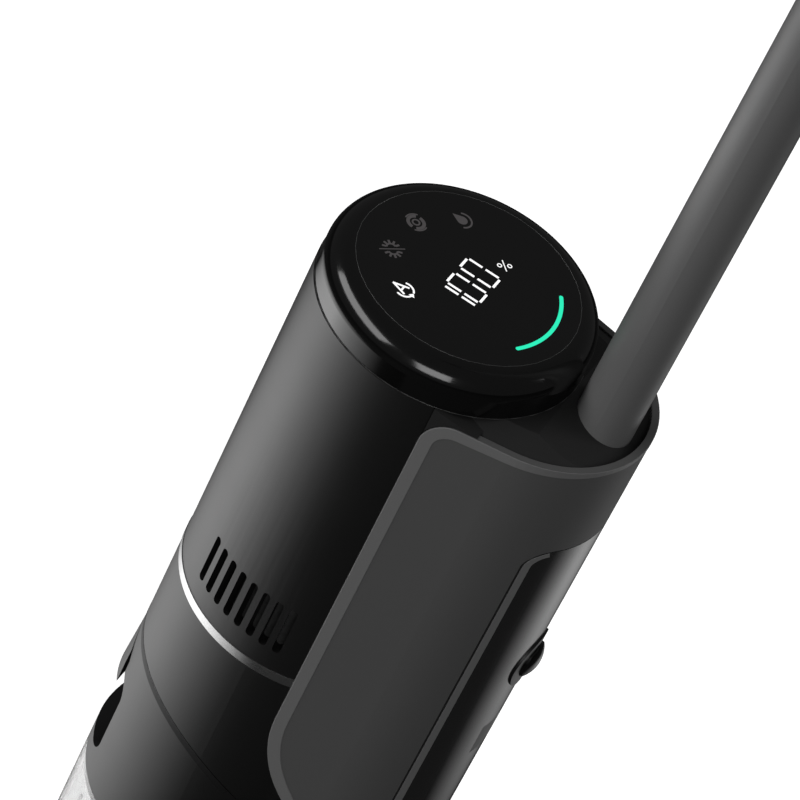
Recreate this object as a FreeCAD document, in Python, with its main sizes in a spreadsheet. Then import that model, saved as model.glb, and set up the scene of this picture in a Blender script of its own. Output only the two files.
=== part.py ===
"""Cordless wet and dry floor washer, standing upright on its floor head.

Millimetres, +Z up. The origin is on the floor, under the middle of the machine. The front of the machine, which
leads when it is pushed, is -Y, and the user stands at +Y. The round body, its display, the motor and both tanks
stand on a neck with two crossed pivots, and the neck stands on a floor head with a driven roller and two wheels.

Every driving dimension is a cell of the sheet Spec. A Size is a length that knows its value and the expression
that makes it, so each feature below is bound to those cells.
"""

import FreeCAD, Part
import math
import os

import Sketcher
from FreeCAD import Placement, Rotation, Vector

doc = FreeCAD.newDocument("FloorWasher")
sheet = doc.addObject("Spreadsheet::Sheet", "Spec")


# ---------------------------------------------------------------- sizes that carry their own expression
class Size:
    """A length or an angle with its value now and the FreeCAD expression that gives it."""

    def __init__(self, value, text=None):
        self.value = float(value)
        self.text = f"{self.value:.6f}" if text is None else text

    def __add__(self, other):
        other = size(other)
        return Size(self.value + other.value, f"({self.text} + {other.text})")

    def __sub__(self, other):
        other = size(other)
        return Size(self.value - other.value, f"({self.text} - {other.text})")

    def __mul__(self, other):
        other = size(other)
        return Size(self.value * other.value, f"({self.text} * {other.text})")

    def __truediv__(self, other):
        other = size(other)
        return Size(self.value / other.value, f"({self.text} / {other.text})")

    def __radd__(self, other):
        return size(other) + self

    def __rsub__(self, other):
        return size(other) - self

    def __rmul__(self, other):
        return size(other) * self

    def __neg__(self):
        return Size(-self.value, f"(0 - {self.text})")


def size(value):
    return value if isinstance(value, Size) else Size(value)


def cosine(angle):
    angle = size(angle)
    return Size(math.cos(math.radians(angle.value)), f"cos({angle.text} * 1 deg)")


def sine(angle):
    angle = size(angle)
    return Size(math.sin(math.radians(angle.value)), f"sin({angle.text} * 1 deg)")


def root(area):
    area = size(area)
    return Size(math.sqrt(area.value), f"sqrt({area.text})")


row = 0


def cell(alias, value):
    """Writes one driving dimension into the sheet and returns it as a Size."""
    global row
    row += 1
    sheet.set(f"A{row}", alias.replace("_", " "))
    sheet.set(f"B{row}", str(value))
    sheet.setAlias(f"B{row}", alias)
    return Size(value, f"Spec.{alias}")


# ---------------------------------------------------------------- driving dimensions
wall = cell("wall", 2.4)
seam_gap = cell("seam_gap", 0.4)
slip = cell("slip", 0.1)
running = cell("running", 0.08)

# the round body, from the display down
body_radius = cell("body_radius", 58.5)
cap_round = cell("cap_round", 10)
cap_skirt = cell("cap_skirt", 9)
cap_inset = cell("cap_inset", 0.5)
glass_thick = cell("glass_thick", 2)
housing_length = cell("housing_length", 167.3)
vent_length = cell("vent_length", 26)
vent_width = cell("vent_width", 3.6)
vent_rise = cell("vent_rise", 10.4)
vent_first_angle = cell("vent_first_angle", 7.65)
vent_pitch_angle = cell("vent_pitch_angle", 6.46)
vent_count = 8
trim_height = cell("trim_height", 4.3)
trim_proud = cell("trim_proud", 0.3)
collar_length = cell("collar_length", 48.4)
sweep_margin = cell("sweep_margin", 23)
seam_lead = cell("seam_lead", 1.5)
lid_length = cell("lid_length", 84)
scoop_rise = cell("scoop_rise", 11)
scoop_half = cell("scoop_half", 36)
scoop_depth = cell("scoop_depth", 22.5)
flap_rise = cell("flap_rise", 47)
flap_length = cell("flap_length", 28)
flap_half = cell("flap_half", 27)
flap_corner = cell("flap_corner", 8)
flap_proud = cell("flap_proud", 1.6)
flap_crown = cell("flap_crown", 53)
filter_radius = cell("filter_radius", 33)
filter_bore = cell("filter_bore", 13)
filter_y = cell("filter_y", 8)
filter_length = cell("filter_length", 38)
pipe_bore = cell("pipe_bore", 11.5)
float_rise = cell("float_rise", 80)
tank_length = cell("tank_length", 175)
foot_length = cell("foot_length", 33.6)
foot_rise = cell("foot_rise", 23)
foot_front_radius = cell("foot_front_radius", 32)
foot_rear_radius = cell("foot_rear_radius", 24)
foot_spacing = cell("foot_spacing", 36)
motor_length = cell("motor_length", 62)
motor_margin = cell("motor_margin", 13)
foam_thick = cell("foam_thick", 7)
foam_length = cell("foam_length", 42)
fan_room = cell("fan_room", 15)
board_thick = cell("board_thick", 1.6)

# the rear of the body
rear_radius = cell("rear_radius", 50)
rear_reach = cell("rear_reach", 36)
panel_angle = cell("panel_angle", 20)
rim_drop = cell("rim_drop", 4.5)
window_drop = cell("window_drop", 52)
window_half = cell("window_half", 37.5)
bay_length = cell("bay_length", 289)
rim_wall = cell("rim_wall", 3)
frame_step = cell("frame_step", 3.2)
spine = cell("spine", 3.2)
well_depth = cell("well_depth", 26)
tank_corner = cell("tank_corner", 9)
ring_proud = cell("ring_proud", 0.9)
front_corner = cell("front_corner", 13)
button_radius = cell("button_radius", 8.6)
button_drop = cell("button_drop", 83)
tube_radius = cell("tube_radius", 12.9)
tube_wall = cell("tube_wall", 1.5)
tube_gap = cell("tube_gap", 2.9)
tube_length = cell("tube_length", 385)
cell_radius = cell("cell_radius", 10.85)
cell_length = cell("cell_length", 65)

# the handle
loop_half_height = cell("loop_half_height", 56)
loop_half_depth = cell("loop_half_depth", 34)
grip_radius = cell("grip_radius", 11.5)

# the neck and the floor head
pivot_y = cell("pivot_y", 55)
pivot_z = cell("pivot_z", 58)
lean_rise = cell("lean_rise", 37)
head_half_width = cell("head_half_width", 145)
roller_gap = cell("roller_gap", 5)
brush_core = cell("roller_core_radius", 22)
roller_shaft = cell("roller_shaft", 4)
belt_width = cell("belt_width", 4)
big_pulley = cell("big_pulley", 14)
small_pulley = cell("small_pulley", 7)
roller_radius = cell("roller_radius", 31)
hood_gap = cell("hood_gap", 1.8)
hood_wall = cell("hood_wall", 2.2)
cheek = cell("cheek", 11)
side_cover = cell("side_cover", 3)
wheel_radius = cell("wheel_radius", 28)
wheel_y = cell("wheel_y", 97)
wheel_width = cell("wheel_width", 24)
floor_clearance = cell("floor_clearance", 6)
tray_lip = cell("tray_lip", 5)
mouth_margin = cell("mouth_margin", 31)
mouth_height = cell("mouth_height", 14)
tray_wall = cell("tray_wall", 3)
tray_front = cell("tray_front", -54)
tray_rear = cell("tray_rear", 112)
tray_half = cell("tray_half", 70)
motor_y = cell("motor_y", 4)
pin_radius = cell("pin_radius", 5)
barrel_half = cell("barrel_half", 32)
barrel_radius = cell("barrel_radius", 13)
post_thick = cell("post_thick", 12)
yoke_half = cell("yoke_half", 16)
yoke_depth = cell("yoke_depth", 24)
journal_radius = cell("journal_radius", 7)
boss_radius = cell("boss_radius", 15)
front_boss_depth = cell("front_boss_depth", 20)
rear_boss_depth = cell("rear_boss_depth", 12)
pivot_gap = cell("pivot_gap", 1)
hose_y = cell("hose_y", 4)
hose_radius = cell("hose_radius", 13)
doc.recompute()

# positions that follow from them
rear_centre = body_radius + rear_reach - rear_radius
tube_y = body_radius + tube_gap + tube_radius
lean_z = pivot_z + lean_rise
foot_low = lean_z + foot_rise
foot_top = foot_low + foot_length
tank_low = foot_top + seam_gap
lid_low = tank_low + tank_length
seam_z = lid_low + lid_length
trim_low = seam_z + collar_length
trim_top = trim_low + trim_height
housing_top = trim_top + housing_length
widest_z = housing_top + cap_skirt
display_top = widest_z + cap_round
rim_z = housing_top - rim_drop
window_top = housing_top - window_drop
flap_low = lid_low + flap_rise
flap_top = flap_low + flap_length
roller_z = roller_radius
roller_y = tray_front - roller_radius - roller_gap
wheel_z = wheel_radius
hood_inner = roller_radius + hood_gap
hood_outer = hood_inner + hood_wall
head_top = roller_z + hood_outer
tray_top = roller_z + tray_lip
bay_half = head_half_width - side_cover - cheek
mouth_half = bay_half - mouth_margin
post_inner = barrel_half + pivot_gap
yoke_front = pivot_y - yoke_depth / 2
yoke_rear = pivot_y + yoke_depth / 2
front_boss_rear = yoke_front - pivot_gap
rear_boss_front = yoke_rear + pivot_gap

made = {}


# ---------------------------------------------------------------- drawing helpers
def bind(target, name, value):
    """Sets a property to a size and ties it to the sheet."""
    value = size(value)
    target.setExpression(name, value.text)


def place(thing, x=0, y=0, z=0, turn=None):
    """Moves a body or primitive; turn is (axis, degrees)."""
    rotation = Rotation(Vector(*turn[0]), turn[1]) if turn else Rotation()
    x, y, z = size(x), size(y), size(z)
    thing.Placement = Placement(Vector(x.value, y.value, z.value), rotation)
    for letter, value in (("x", x), ("y", y), ("z", z)):
        bind(thing, f".Placement.Base.{letter}", value)
    return thing


ALONG_X = ((0, 1, 0), 90)
ALONG_Y = ((1, 0, 0), -90)


def pin_point(sketch, geometry, end, x, y):
    """Fixes one end of a curve at (x, y) from the sketch's origin."""
    for kind, value in (("DistanceX", size(x)), ("DistanceY", size(y))):
        n = sketch.addConstraint(Sketcher.Constraint(kind, -1, 1, geometry, end, value.value))
        sketch.setExpression(f"Constraints[{n}]", value.text)


def arc_between(a, b, radius, side):
    """The arc of less than half a turn from a to b; side 1 bulges to the left of a to b, -1 to the right."""
    chord = b - a
    half = chord.Length / 2
    height = math.sqrt(max(radius * radius - half * half, 0.0))
    left = Vector(-chord.y, chord.x, 0).normalize()
    centre = (a + b) * 0.5 - left * (height * side)
    start, end = (b, a) if side > 0 else (a, b)
    first = math.atan2(start.y - centre.y, start.x - centre.x)
    last = math.atan2(end.y - centre.y, end.x - centre.x)
    circle = Part.Circle(centre, Vector(0, 0, 1), radius)
    return Part.ArcOfCircle(circle, first, last if last > first else last + 2 * math.pi)


def draw(sketch, corners):
    """Draws a closed outline. A corner is (x, y), or (x, y, radius, side) where the edge after it is an arc."""
    points = [Vector(size(c[0]).value, size(c[1]).value, 0) for c in corners]
    ends = []
    for i, corner in enumerate(corners):
        a, b = points[i], points[(i + 1) % len(points)]
        if len(corner) == 4:
            radius, side = size(corner[2]), corner[3]
            edge = sketch.addGeometry(arc_between(a, b, radius.value, side))
            n = sketch.addConstraint(Sketcher.Constraint("Radius", edge, radius.value))
            sketch.setExpression(f"Constraints[{n}]", radius.text)
            ends.append((edge, 2, 1) if side > 0 else (edge, 1, 2))
        else:
            edge = sketch.addGeometry(Part.LineSegment(a, b))
            ends.append((edge, 1, 2))
    for i, (edge, start, end) in enumerate(ends):
        following, its_start, _ = ends[(i + 1) % len(ends)]
        sketch.addConstraint(Sketcher.Constraint("Coincident", edge, end, following, its_start))
        pin_point(sketch, edge, start, corners[i][0], corners[i][1])


def draw_circle(sketch, x, y, radius):
    x, y, radius = size(x), size(y), size(radius)
    centre = Vector(x.value, y.value, 0)
    edge = sketch.addGeometry(Part.Circle(centre, Vector(0, 0, 1), radius.value))
    pin_point(sketch, edge, 3, x, y)
    n = sketch.addConstraint(Sketcher.Constraint("Radius", edge, radius.value))
    sketch.setExpression(f"Constraints[{n}]", radius.text)


def draw_all(sketch, shapes):
    for shape in shapes:
        if len(shape) == 3 and not isinstance(shape[0], tuple):
            draw_circle(sketch, *shape)
        else:
            draw(sketch, shape)


def new_body(name):
    body = doc.addObject("PartDesign::Body", name)
    body.Label = name
    made[name] = body
    return body


def sketch_on(body, plane, offset=0, spin=None):
    """A sketch on one of the body's own planes, moved along the row's axis that the plane faces.

    XY sketches hold (x, y), XZ hold (x, z) and YZ hold (y, z). spin turns the sketch about its upright axis.
    """
    sketch = body.newObject("Sketcher::SketchObject", f"{body.Name}_sketch")
    origin = [o for o in body.Origin.OriginFeatures if o.Role == f"{plane}_Plane"][0]
    sketch.AttachmentSupport = [(origin, "")]
    sketch.MapMode = "FlatFace"
    shift = -size(offset) if plane == "XZ" else size(offset)
    rotation = Rotation(Vector(0, 1, 0), size(spin).value) if spin is not None else Rotation()
    sketch.AttachmentOffset = Placement(Vector(0, 0, shift.value), rotation)
    bind(sketch, ".AttachmentOffset.Base.z", shift)
    return sketch


def checked(body, before, grows):
    """Stops if the last feature failed or changed the solid the wrong way."""
    doc.recompute()
    shape = body.Shape
    if shape.isNull() or not shape.isValid():
        raise ValueError(f"{body.Name}: the last feature failed")
    if before is not None and (shape.Volume > before) != grows:
        raise ValueError(f"{body.Name}: the last feature did not change the solid as it should")
    return body


def lathe(name, *outlines):
    """A body turned about the Z axis of its own frame; outlines hold (radius, height)."""
    body = new_body(name)
    sketch = sketch_on(body, "XZ")
    draw_all(sketch, outlines)
    turned = body.newObject("PartDesign::Revolution", f"{name}_turned")
    turned.Profile = sketch
    turned.ReferenceAxis = (sketch, ["V_Axis"])
    turned.Angle = 360
    return checked(body, None, True)


def extrude(kind, body, plane, outlines, low, high, spin=None):
    low, high = size(low), size(high)
    sketch = sketch_on(body, plane, high if plane == "XZ" else low, spin)
    draw_all(sketch, outlines)
    feature = body.newObject(f"PartDesign::{kind}", f"{body.Name}_{kind.lower()}")
    feature.Profile = sketch
    bind(feature, "Length", high - low)
    feature.Reversed = kind == "Pocket"
    return feature


def slab(name, plane, outlines, low, high):
    """A body that is one prism of the outlines, from low to high along the axis that the plane faces."""
    body = new_body(name)
    extrude("Pad", body, plane, outlines, low, high)
    return checked(body, None, True)


def pocket(body, plane, outlines, low, high):
    """Cuts a prism of the outlines, from low to high along the axis that the plane faces."""
    before = body.Shape.Volume
    extrude("Pocket", body, plane, outlines, low, high)
    return checked(body, before, False)


def rectangle(x0, x1, y0, y1):
    return [(x0, y0), (x1, y0), (x1, y1), (x0, y1)]


def soft_rectangle(x0, x1, y0, y1, r):
    """A rectangle with round corners, drawn anticlockwise."""
    x0, x1, y0, y1, r = (size(v) for v in (x0, x1, y0, y1, r))
    return [
        (x0 + r, y0), (x1 - r, y0, r, -1), (x1, y0 + r), (x1, y1 - r, r, -1),
        (x1 - r, y1), (x0 + r, y1, r, -1), (x0, y1 - r), (x0, y0 + r, r, -1),
    ]


def edges_where(body, test):
    """Names of the body's edges whose bounding box passes the test."""
    return [f"Edge{i}" for i, e in enumerate(body.Shape.Edges, 1) if test(e.BoundBox)]


def ease(body, kind, amount, test):
    """Rounds or chamfers the edges that pass the test."""
    names = edges_where(body, test)
    if not names:
        raise ValueError(f"{body.Name}: no edge to ease")
    base = body.Tip
    feature = body.newObject(f"PartDesign::{kind}", f"{body.Name}_{kind.lower()}")
    feature.Base = (base, names)
    bind(feature, "Radius" if kind == "Fillet" else "Size", amount)
    return checked(body, None, True)


def near(value, target, slack=0.05):
    return abs(value - size(target).value) < slack


def flat_at_z(height):
    return lambda b: near(b.ZMin, height) and near(b.ZMax, height)


def upright_corner(half_width, height):
    """The two edges along Y at one height, one on each side."""
    return lambda b: b.XLength < 0.01 and near(abs(b.XMin), half_width) and flat_at_z(height)(b)


def cylinder(name, radius, low, high, x=0, y=0, z=0, turn=None):
    """A Part cylinder along Z, or along X or Y with turn; low and high are along its axis."""
    low, high = size(low), size(high)
    solid = doc.addObject("Part::Cylinder", name)
    bind(solid, "Radius", radius)
    bind(solid, "Height", high - low)
    if turn is ALONG_X:
        return place(solid, low, y, z, turn)
    if turn is ALONG_Y:
        return place(solid, x, low, z, turn)
    return place(solid, x, y, low)


def block(name, x0, x1, y0, y1, z0, z1):
    x0, x1, y0, y1, z0, z1 = (size(v) for v in (x0, x1, y0, y1, z0, z1))
    solid = doc.addObject("Part::Box", name)
    bind(solid, "Length", x1 - x0)
    bind(solid, "Width", y1 - y0)
    bind(solid, "Height", z1 - z0)
    return place(solid, x0, y0, z0)


def combine(kind, name, *solids):
    """Cut, Fuse, Common or Compound of solids, under a plain label."""
    if kind == "Compound":
        result = doc.addObject("Part::Compound", name)
        result.Links = list(solids)
    elif kind == "Fuse" and len(solids) > 2:
        result = doc.addObject("Part::MultiFuse", name)
        result.Shapes = list(solids)
    else:
        result = doc.addObject(f"Part::{kind}", name)
        result.Base, result.Tool = solids
    return result


def keep(name, solid):
    """Marks a finished document object as one node."""
    solid.Label = name
    made[name] = solid
    return solid


# ---------------------------------------------------------------- outlines used by more than one piece
def hull(front, rear, spacing):
    """Two round ends joined by their tangents, anticlockwise: front about the origin, rear about (0, spacing)."""
    front, rear, spacing = size(front), size(rear), size(spacing)
    lean = (front - rear) / spacing
    spread = root(1 - lean * lean)
    return [
        (0, -front, front, -1),
        (front * spread, front * lean),
        (rear * spread, spacing + rear * lean, rear, -1),
        (-(rear * spread), spacing + rear * lean),
        (-(front * spread), front * lean, front, -1),
    ]


def stepped_round(outer, inner, angle):
    """The body's plan: round in front, and a smaller round behind where the rear frame wraps it."""
    outer, inner = size(outer), size(inner)
    c, s = cosine(angle), sine(angle)
    reach = root(outer * outer - edge_y * edge_y)
    return [
        (0, -outer, outer, -1),
        (reach, edge_y),
        (inner * c, inner * s, inner, -1),
        (-(inner * c), inner * s),
        (-reach, edge_y, outer, -1),
    ]


core_radius = body_radius - frame_step
bore_radius = core_radius - wall
edge_y = body_radius * sine(panel_angle)
core_step = seam_z - 21
frame_low = foot_top
bay_low = window_top - bay_length
spine_radius = body_radius + 2 * seam_gap + spine
seam_sweep = body_radius * 2 + sweep_margin
seam_centre_z = seam_z - seam_sweep
seam_start = -(body_radius + seam_lead)
duct_wide = mouth_half + 4
duct_throat = hose_radius + 4
motor_can = 14


# ---------------------------------------------------------------- the round body
def display_cap():
    skirt = body_radius - cap_inset
    glass_bore = skirt - cap_round - seam_gap
    board_bore = bore_radius - slip - wall
    lathe("display_cap", [
        (board_bore, housing_top - 6), (bore_radius - slip, housing_top - 6), (bore_radius - slip, housing_top),
        (skirt, housing_top), (skirt, widest_z, cap_round, -1), (skirt - cap_round, display_top),
        (glass_bore, display_top), (glass_bore, display_top - glass_thick), (0, display_top - glass_thick),
        (0, display_top - glass_thick - board_thick), (board_bore - 3, display_top - glass_thick - board_thick),
        (board_bore - 3, widest_z + board_thick), (board_bore, widest_z + board_thick),
    ])
    lathe("display_glass", [
        (0, display_top - glass_thick), (glass_bore - slip, display_top - glass_thick),
        (glass_bore - slip, display_top), (0, display_top),
    ])
    lathe("display_board", [
        (0, widest_z), (board_bore - slip, widest_z), (board_bore - slip, widest_z + board_thick), (0, widest_z + board_thick),
    ])


def stadium_upright(half_width, low, high):
    """An upright slot with round ends, anticlockwise, centred on the sketch's upright axis."""
    w, low, high = size(half_width), size(low), size(high)
    return [(-w, low + w, w, -1), (0, low, w, -1), (w, low + w), (w, high - w, w, -1), (0, high, w, -1),
            (-w, high - w)]


def motor_housing():
    body = slab("motor_housing", "XY", [stepped_round(body_radius, core_radius, panel_angle)],
                trim_top, housing_top)
    pocket(body, "XY", [(0, 0, bore_radius)], trim_top + 3, housing_top + 1)
    pocket(body, "XY", [(0, 0, 20)], trim_top - 1, trim_top + 4)
    for side in (0, 1):
        for i in range(vent_count):
            azimuth = vent_first_angle - vent_pitch_angle * i
            vent(body, 180 - azimuth if side else azimuth)


def vent(body, azimuth):
    """One round-ended slot through the wall, facing the given azimuth."""
    before = body.Shape.Volume
    slot = stadium_upright(vent_width / 2, trim_top + vent_rise, trim_top + vent_rise + vent_length)
    feature = extrude("Pocket", body, "YZ", [slot], 0, body_radius + 2, azimuth)
    feature.Profile[0].setExpression(".AttachmentOffset.Rotation.Angle", f"{azimuth.text} * 1 deg")
    checked(body, before, False)


def trim_ring():
    slab("trim_ring", "XY",
         [stepped_round(body_radius + trim_proud, core_radius, panel_angle), (0, 0, bore_radius)],
         trim_low, trim_top)


def frame_crescent():
    """The space behind the round body that the rear frame may fill."""
    plan = slab("frame_plan", "XY", [hull(body_radius, rear_radius, rear_centre)], frame_low, rim_z)
    del made["frame_plan"]
    turn_z = seam_z + 29
    foot_y = edge_y + 18
    behind = body_radius + rear_centre
    side = slab("frame_side", "YZ", [[
        (edge_y + front_corner, rim_z, front_corner, -1), (edge_y, rim_z - front_corner),
        (edge_y, turn_z, 60, -1), (foot_y, seam_z - 14), (foot_y, frame_low), (behind, frame_low), (behind, rim_z),
    ]], -(body_radius + 10), body_radius + 10)
    del made["frame_side"]
    envelope = combine("Common", "frame_envelope", plan, side)
    upper_core = cylinder("frame_upper_core", core_radius, core_step, rim_z + 1)
    lower_core = cylinder("frame_lower_core", body_radius + 2 * seam_gap, frame_low - 1, core_step)
    cores = combine("Fuse", "frame_cores", upper_core, lower_core)
    return combine("Cut", "frame_crescent", envelope, cores)


def collar_shell(crescent):
    outer = cylinder("collar_outer", body_radius, seam_centre_z, trim_low)
    sweep = cylinder("collar_sweep", seam_sweep, -(body_radius + 5), body_radius + 5,
                     y=seam_start, z=seam_centre_z, turn=ALONG_X)
    inner_sweep = cylinder("collar_inner_sweep", seam_sweep + wall, -(body_radius + 5), body_radius + 5,
                           y=seam_start, z=seam_centre_z, turn=ALONG_X)
    room = combine("Cut", "collar_room", cylinder("collar_bore", bore_radius, seam_centre_z, trim_low + 1),
                   inner_sweep)
    air_hole = cylinder("collar_air_hole", 12, seam_centre_z, trim_low)
    shell = combine("Cut", "collar_roof", combine("Cut", "collar_swept", outer, sweep), room)
    open_shell = combine("Cut", "collar_open", shell, air_hole)
    keep("collar_shell", combine("Cut", "collar_cut", open_shell, crescent))


def rear_frame(crescent):
    reach = root(spine_radius * spine_radius - (window_half + seam_gap) * (window_half + seam_gap))
    w = window_half + seam_gap
    bay = slab("frame_bay", "XY", [[(-w, reach, spine_radius, 1), (w, reach), (w, 130), (-w, 130)]],
               bay_low, window_top)
    ease(bay, "Fillet", tank_corner, upright_corner(w, window_top))
    del made["frame_bay"]
    well = slab("frame_well", "XY", [hull(body_radius - rim_wall, rear_radius - rim_wall, rear_centre)],
                rim_z - well_depth, rim_z + 1)
    del made["frame_well"]
    socket = cylinder("frame_socket", tube_radius + slip, window_top + 4, rim_z, y=tube_y)
    port = cylinder("frame_port", 6 + slip, bay_low - 10, bay_low + 1, y=spine_radius + 12)
    hollow = combine("Fuse", "frame_hollow", bay, well, socket, port)
    keep("rear_frame", combine("Cut", "rear_frame_cut", crescent, hollow))
    keep("water_port", combine("Cut", "water_port_cut",
                               cylinder("port_plug", 6, bay_low - 10, bay_low, y=spine_radius + 12),
                               cylinder("port_bore", 3, bay_low - 8, bay_low + 1, y=spine_radius + 12)))


def deck():
    """The sloping top between the cap and the frame's rim, with a wedge that fills each front corner."""
    inset = rim_wall + slip
    inside = hull(body_radius - inset, rear_radius - inset, rear_centre)
    plan = slab("deck_plan", "XY", [inside], rim_z - well_depth, rim_z - 1)
    slope = new_body("deck_slope")
    draw(sketch_on(slope, "XY", rim_z - 1), inside)
    shrunk = inset + 12
    draw(sketch_on(slope, "XY", housing_top + 1), hull(body_radius - shrunk, rear_radius - shrunk, rear_centre))
    loft = slope.newObject("PartDesign::AdditiveLoft", "deck_slope_loft")
    base, top = [o for o in slope.Group if o.TypeId == "Sketcher::SketchObject"]
    loft.Profile = base
    loft.Sections = [top]
    checked(slope, None, True)
    bend = body_radius - 0.5
    rear = rear_centre + rear_radius
    top_z, low = housing_top, rim_z - 5
    deep = rim_z - 1.5 * front_corner
    front = edge_y + seam_gap
    side = slab("deck_side", "YZ", [[
        (front, deep), (front + front_corner, deep), (bend - front_corner, rim_z - 6), (rear, low - 4), (rear, low),
        (bend, top_z), (front, top_z),
    ]], -body_radius, body_radius)
    arc_y, round_gap = edge_y + front_corner, front_corner + seam_gap
    run = arc_y - front
    start_z = rim_z - front_corner + root(round_gap * round_gap - run * run)
    wedge_side = slab("wedge_side", "YZ", [[
        (front, start_z, round_gap, 1), (arc_y, rim_z + seam_gap), (arc_y + 7, rim_z + seam_gap), (front, top_z),
    ]], -body_radius, body_radius)
    wedge_plan = slab("wedge_plan", "XY", [hull(body_radius, rear_radius, rear_centre)], deep, top_z)
    for scrap in ("deck_plan", "deck_slope", "deck_side", "wedge_side", "wedge_plan"):
        del made[scrap]
    solid = combine("Common", "deck_solid", combine("Fuse", "deck_blank", plan, slope), side)
    wedges = combine("Common", "deck_wedges", wedge_plan, wedge_side)
    holes = combine("Fuse", "deck_holes",
                    cylinder("deck_core", core_radius + slip, rim_z - well_depth - 1, housing_top + 3),
                    cylinder("deck_tube_hole", tube_radius + slip, rim_z - well_depth - 1, housing_top + 3, y=tube_y))
    keep("deck", combine("Cut", "deck_cut", combine("Fuse", "deck_whole", solid, wedges), holes))


# ---------------------------------------------------------------- what is inside the round body
def drive_stack():
    floor = trim_top + 3
    motor_low, motor_top = floor, floor + motor_length
    motor_radius = bore_radius - motor_margin
    lathe("suction_motor", [
        (0, motor_low + 4), (3, motor_low + 4), (3, motor_low + fan_room), (motor_radius - 4, motor_low + fan_room),
        (motor_radius - 4, motor_low + 3), (18, motor_low + 3), (18, motor_low), (motor_radius, motor_low),
        (motor_radius, motor_top), (0, motor_top),
    ])
    lathe("fan_impeller", [
        (3 + running, motor_low + 5), (motor_radius - 5.5, motor_low + 5), (motor_radius - 5.5, motor_low + 7),
        (12, motor_low + fan_room - 2), (3 + running, motor_low + fan_room - 2),
    ])
    lathe("exhaust_foam", [
        (bore_radius - foam_thick, floor), (bore_radius - 2 * slip, floor),
        (bore_radius - 2 * slip, floor + foam_length), (bore_radius - foam_thick, floor + foam_length),
    ])
    case = bore_radius - 1
    case_top = motor_top + 2 + cell_length + 14
    lathe("battery_case", [
        (0, motor_top), (case, motor_top), (case, case_top), (case - 2, case_top), (case - 2, motor_top + 2),
        (0, motor_top + 2),
    ])
    ring = case - 6 - cell_radius
    for i, (along_x, along_y) in enumerate(((1, 0), (0, 1), (-1, 0), (0, -1)), 1):
        keep(f"battery_cell_{i}", cylinder(f"cell_{i}", cell_radius, motor_top + 2, motor_top + 2 + cell_length,
                                           x=ring * along_x, y=ring * along_y))
    lathe("control_board", [
        (0, motor_top + 2 + cell_length), (case - 3, motor_top + 2 + cell_length),
        (case - 3, motor_top + 2 + board_thick + cell_length), (0, motor_top + 2 + board_thick + cell_length),
    ])


# ---------------------------------------------------------------- dirty tank and its lid
def tank_lid():
    sweep = cylinder("lid_sweep", seam_sweep - seam_gap, -(body_radius + 5), body_radius + 5,
                     y=seam_start, z=seam_centre_z, turn=ALONG_X)
    dome = combine("Common", "lid_dome", cylinder("lid_outer", body_radius, lid_low, seam_z), sweep)
    spigot = cylinder("lid_spigot", body_radius - wall - 1.6, lid_low - 6, lid_low)
    filter_room = cylinder("lid_room", filter_radius, lid_low - 7, lid_low + filter_length - 2, y=filter_y)
    air_hole = cylinder("lid_air_hole", 12, lid_low, seam_z)
    scoop_outline = soft_rectangle(-scoop_half, scoop_half, lid_low + scoop_rise, flap_low + 10, 9)
    scoop = slab("lid_scoop", "XZ", [scoop_outline], -body_radius - 5, scoop_depth - body_radius)
    del made["lid_scoop"]
    seat = slab("flap_seat", "XZ", [flap_outline(seam_gap)], -body_radius - 5, -body_radius + 7)
    del made["flap_seat"]
    rooms = combine("Fuse", "lid_rooms", filter_room, air_hole, scoop, seat)
    keep("tank_lid", combine("Cut", "lid_cut", combine("Fuse", "lid_solid", dome, spigot), rooms))
    ring_low = lid_low - 5
    lathe("lid_seal", [
        (body_radius - wall - 1.6, ring_low), (body_radius - wall - slip, ring_low),
        (body_radius - wall - slip, ring_low + 3), (body_radius - wall - 1.6, ring_low + 3),
    ])
    place(lathe("filter_cartridge", [
        (filter_bore, lid_low - 4), (filter_radius - 2 * slip, lid_low - 4),
        (filter_radius - 2 * slip, lid_low + filter_length - 4), (filter_bore, lid_low + filter_length - 4),
    ]), y=filter_y)


def flap_outline(grow=0):
    """The release flap seen from the front, wider towards its free lower edge."""
    grow = size(grow)
    low, top = flap_low - grow, flap_top + grow
    r = flap_corner + grow
    narrow = flap_half - 10 + grow
    return [(-flap_half, low), (flap_half, low, r, -1), (flap_half + r, low + r), (narrow, top), (-narrow, top),
            (-flap_half - r, low + r, r, -1)]


def release_flap():
    prism = slab("flap_prism", "XZ", [flap_outline()], -body_radius - 6, -body_radius + 5)
    del made["flap_prism"]
    cone = lathe("flap_cone", [
        (0, flap_low - 1), (body_radius + flap_proud, flap_low - 1), (body_radius, flap_top),
        (body_radius, flap_top + 1), (0, flap_top + 1),
    ])
    del made["flap_cone"]
    crown = cylinder("flap_crown", flap_crown, flap_low - 1, flap_top + 1, y=flap_crown - body_radius - flap_proud)
    keep("release_flap", combine("Common", "flap_solid", combine("Common", "flap_blank", prism, cone), crown))


def dirty_tank():
    inner = body_radius - wall
    lathe("dirty_tank", [
        (pipe_bore, tank_low), (body_radius - 6, tank_low, 6, -1), (body_radius, tank_low + 6), (body_radius, lid_low),
        (inner, lid_low), (inner, tank_low + 8, 5, 1), (inner - 5, tank_low + 3), (pipe_bore, tank_low + 3),
    ])
    base, stop, top = tank_low + 3, tank_low + float_rise, lid_low - 22
    pipe = pipe_bore + 1.5
    lathe("intake_pipe", [
        (pipe_bore, base), (pipe, base), (pipe, stop), (pipe + 5, stop), (pipe + 5, stop + 3), (pipe, stop + 3),
        (pipe, top), (pipe_bore, top),
    ])
    lathe("float_ring", [
        (pipe + 1, stop + 3), (pipe + 11, stop + 3), (pipe + 11, stop + 23), (pipe + 1, stop + 23),
    ])


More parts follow.
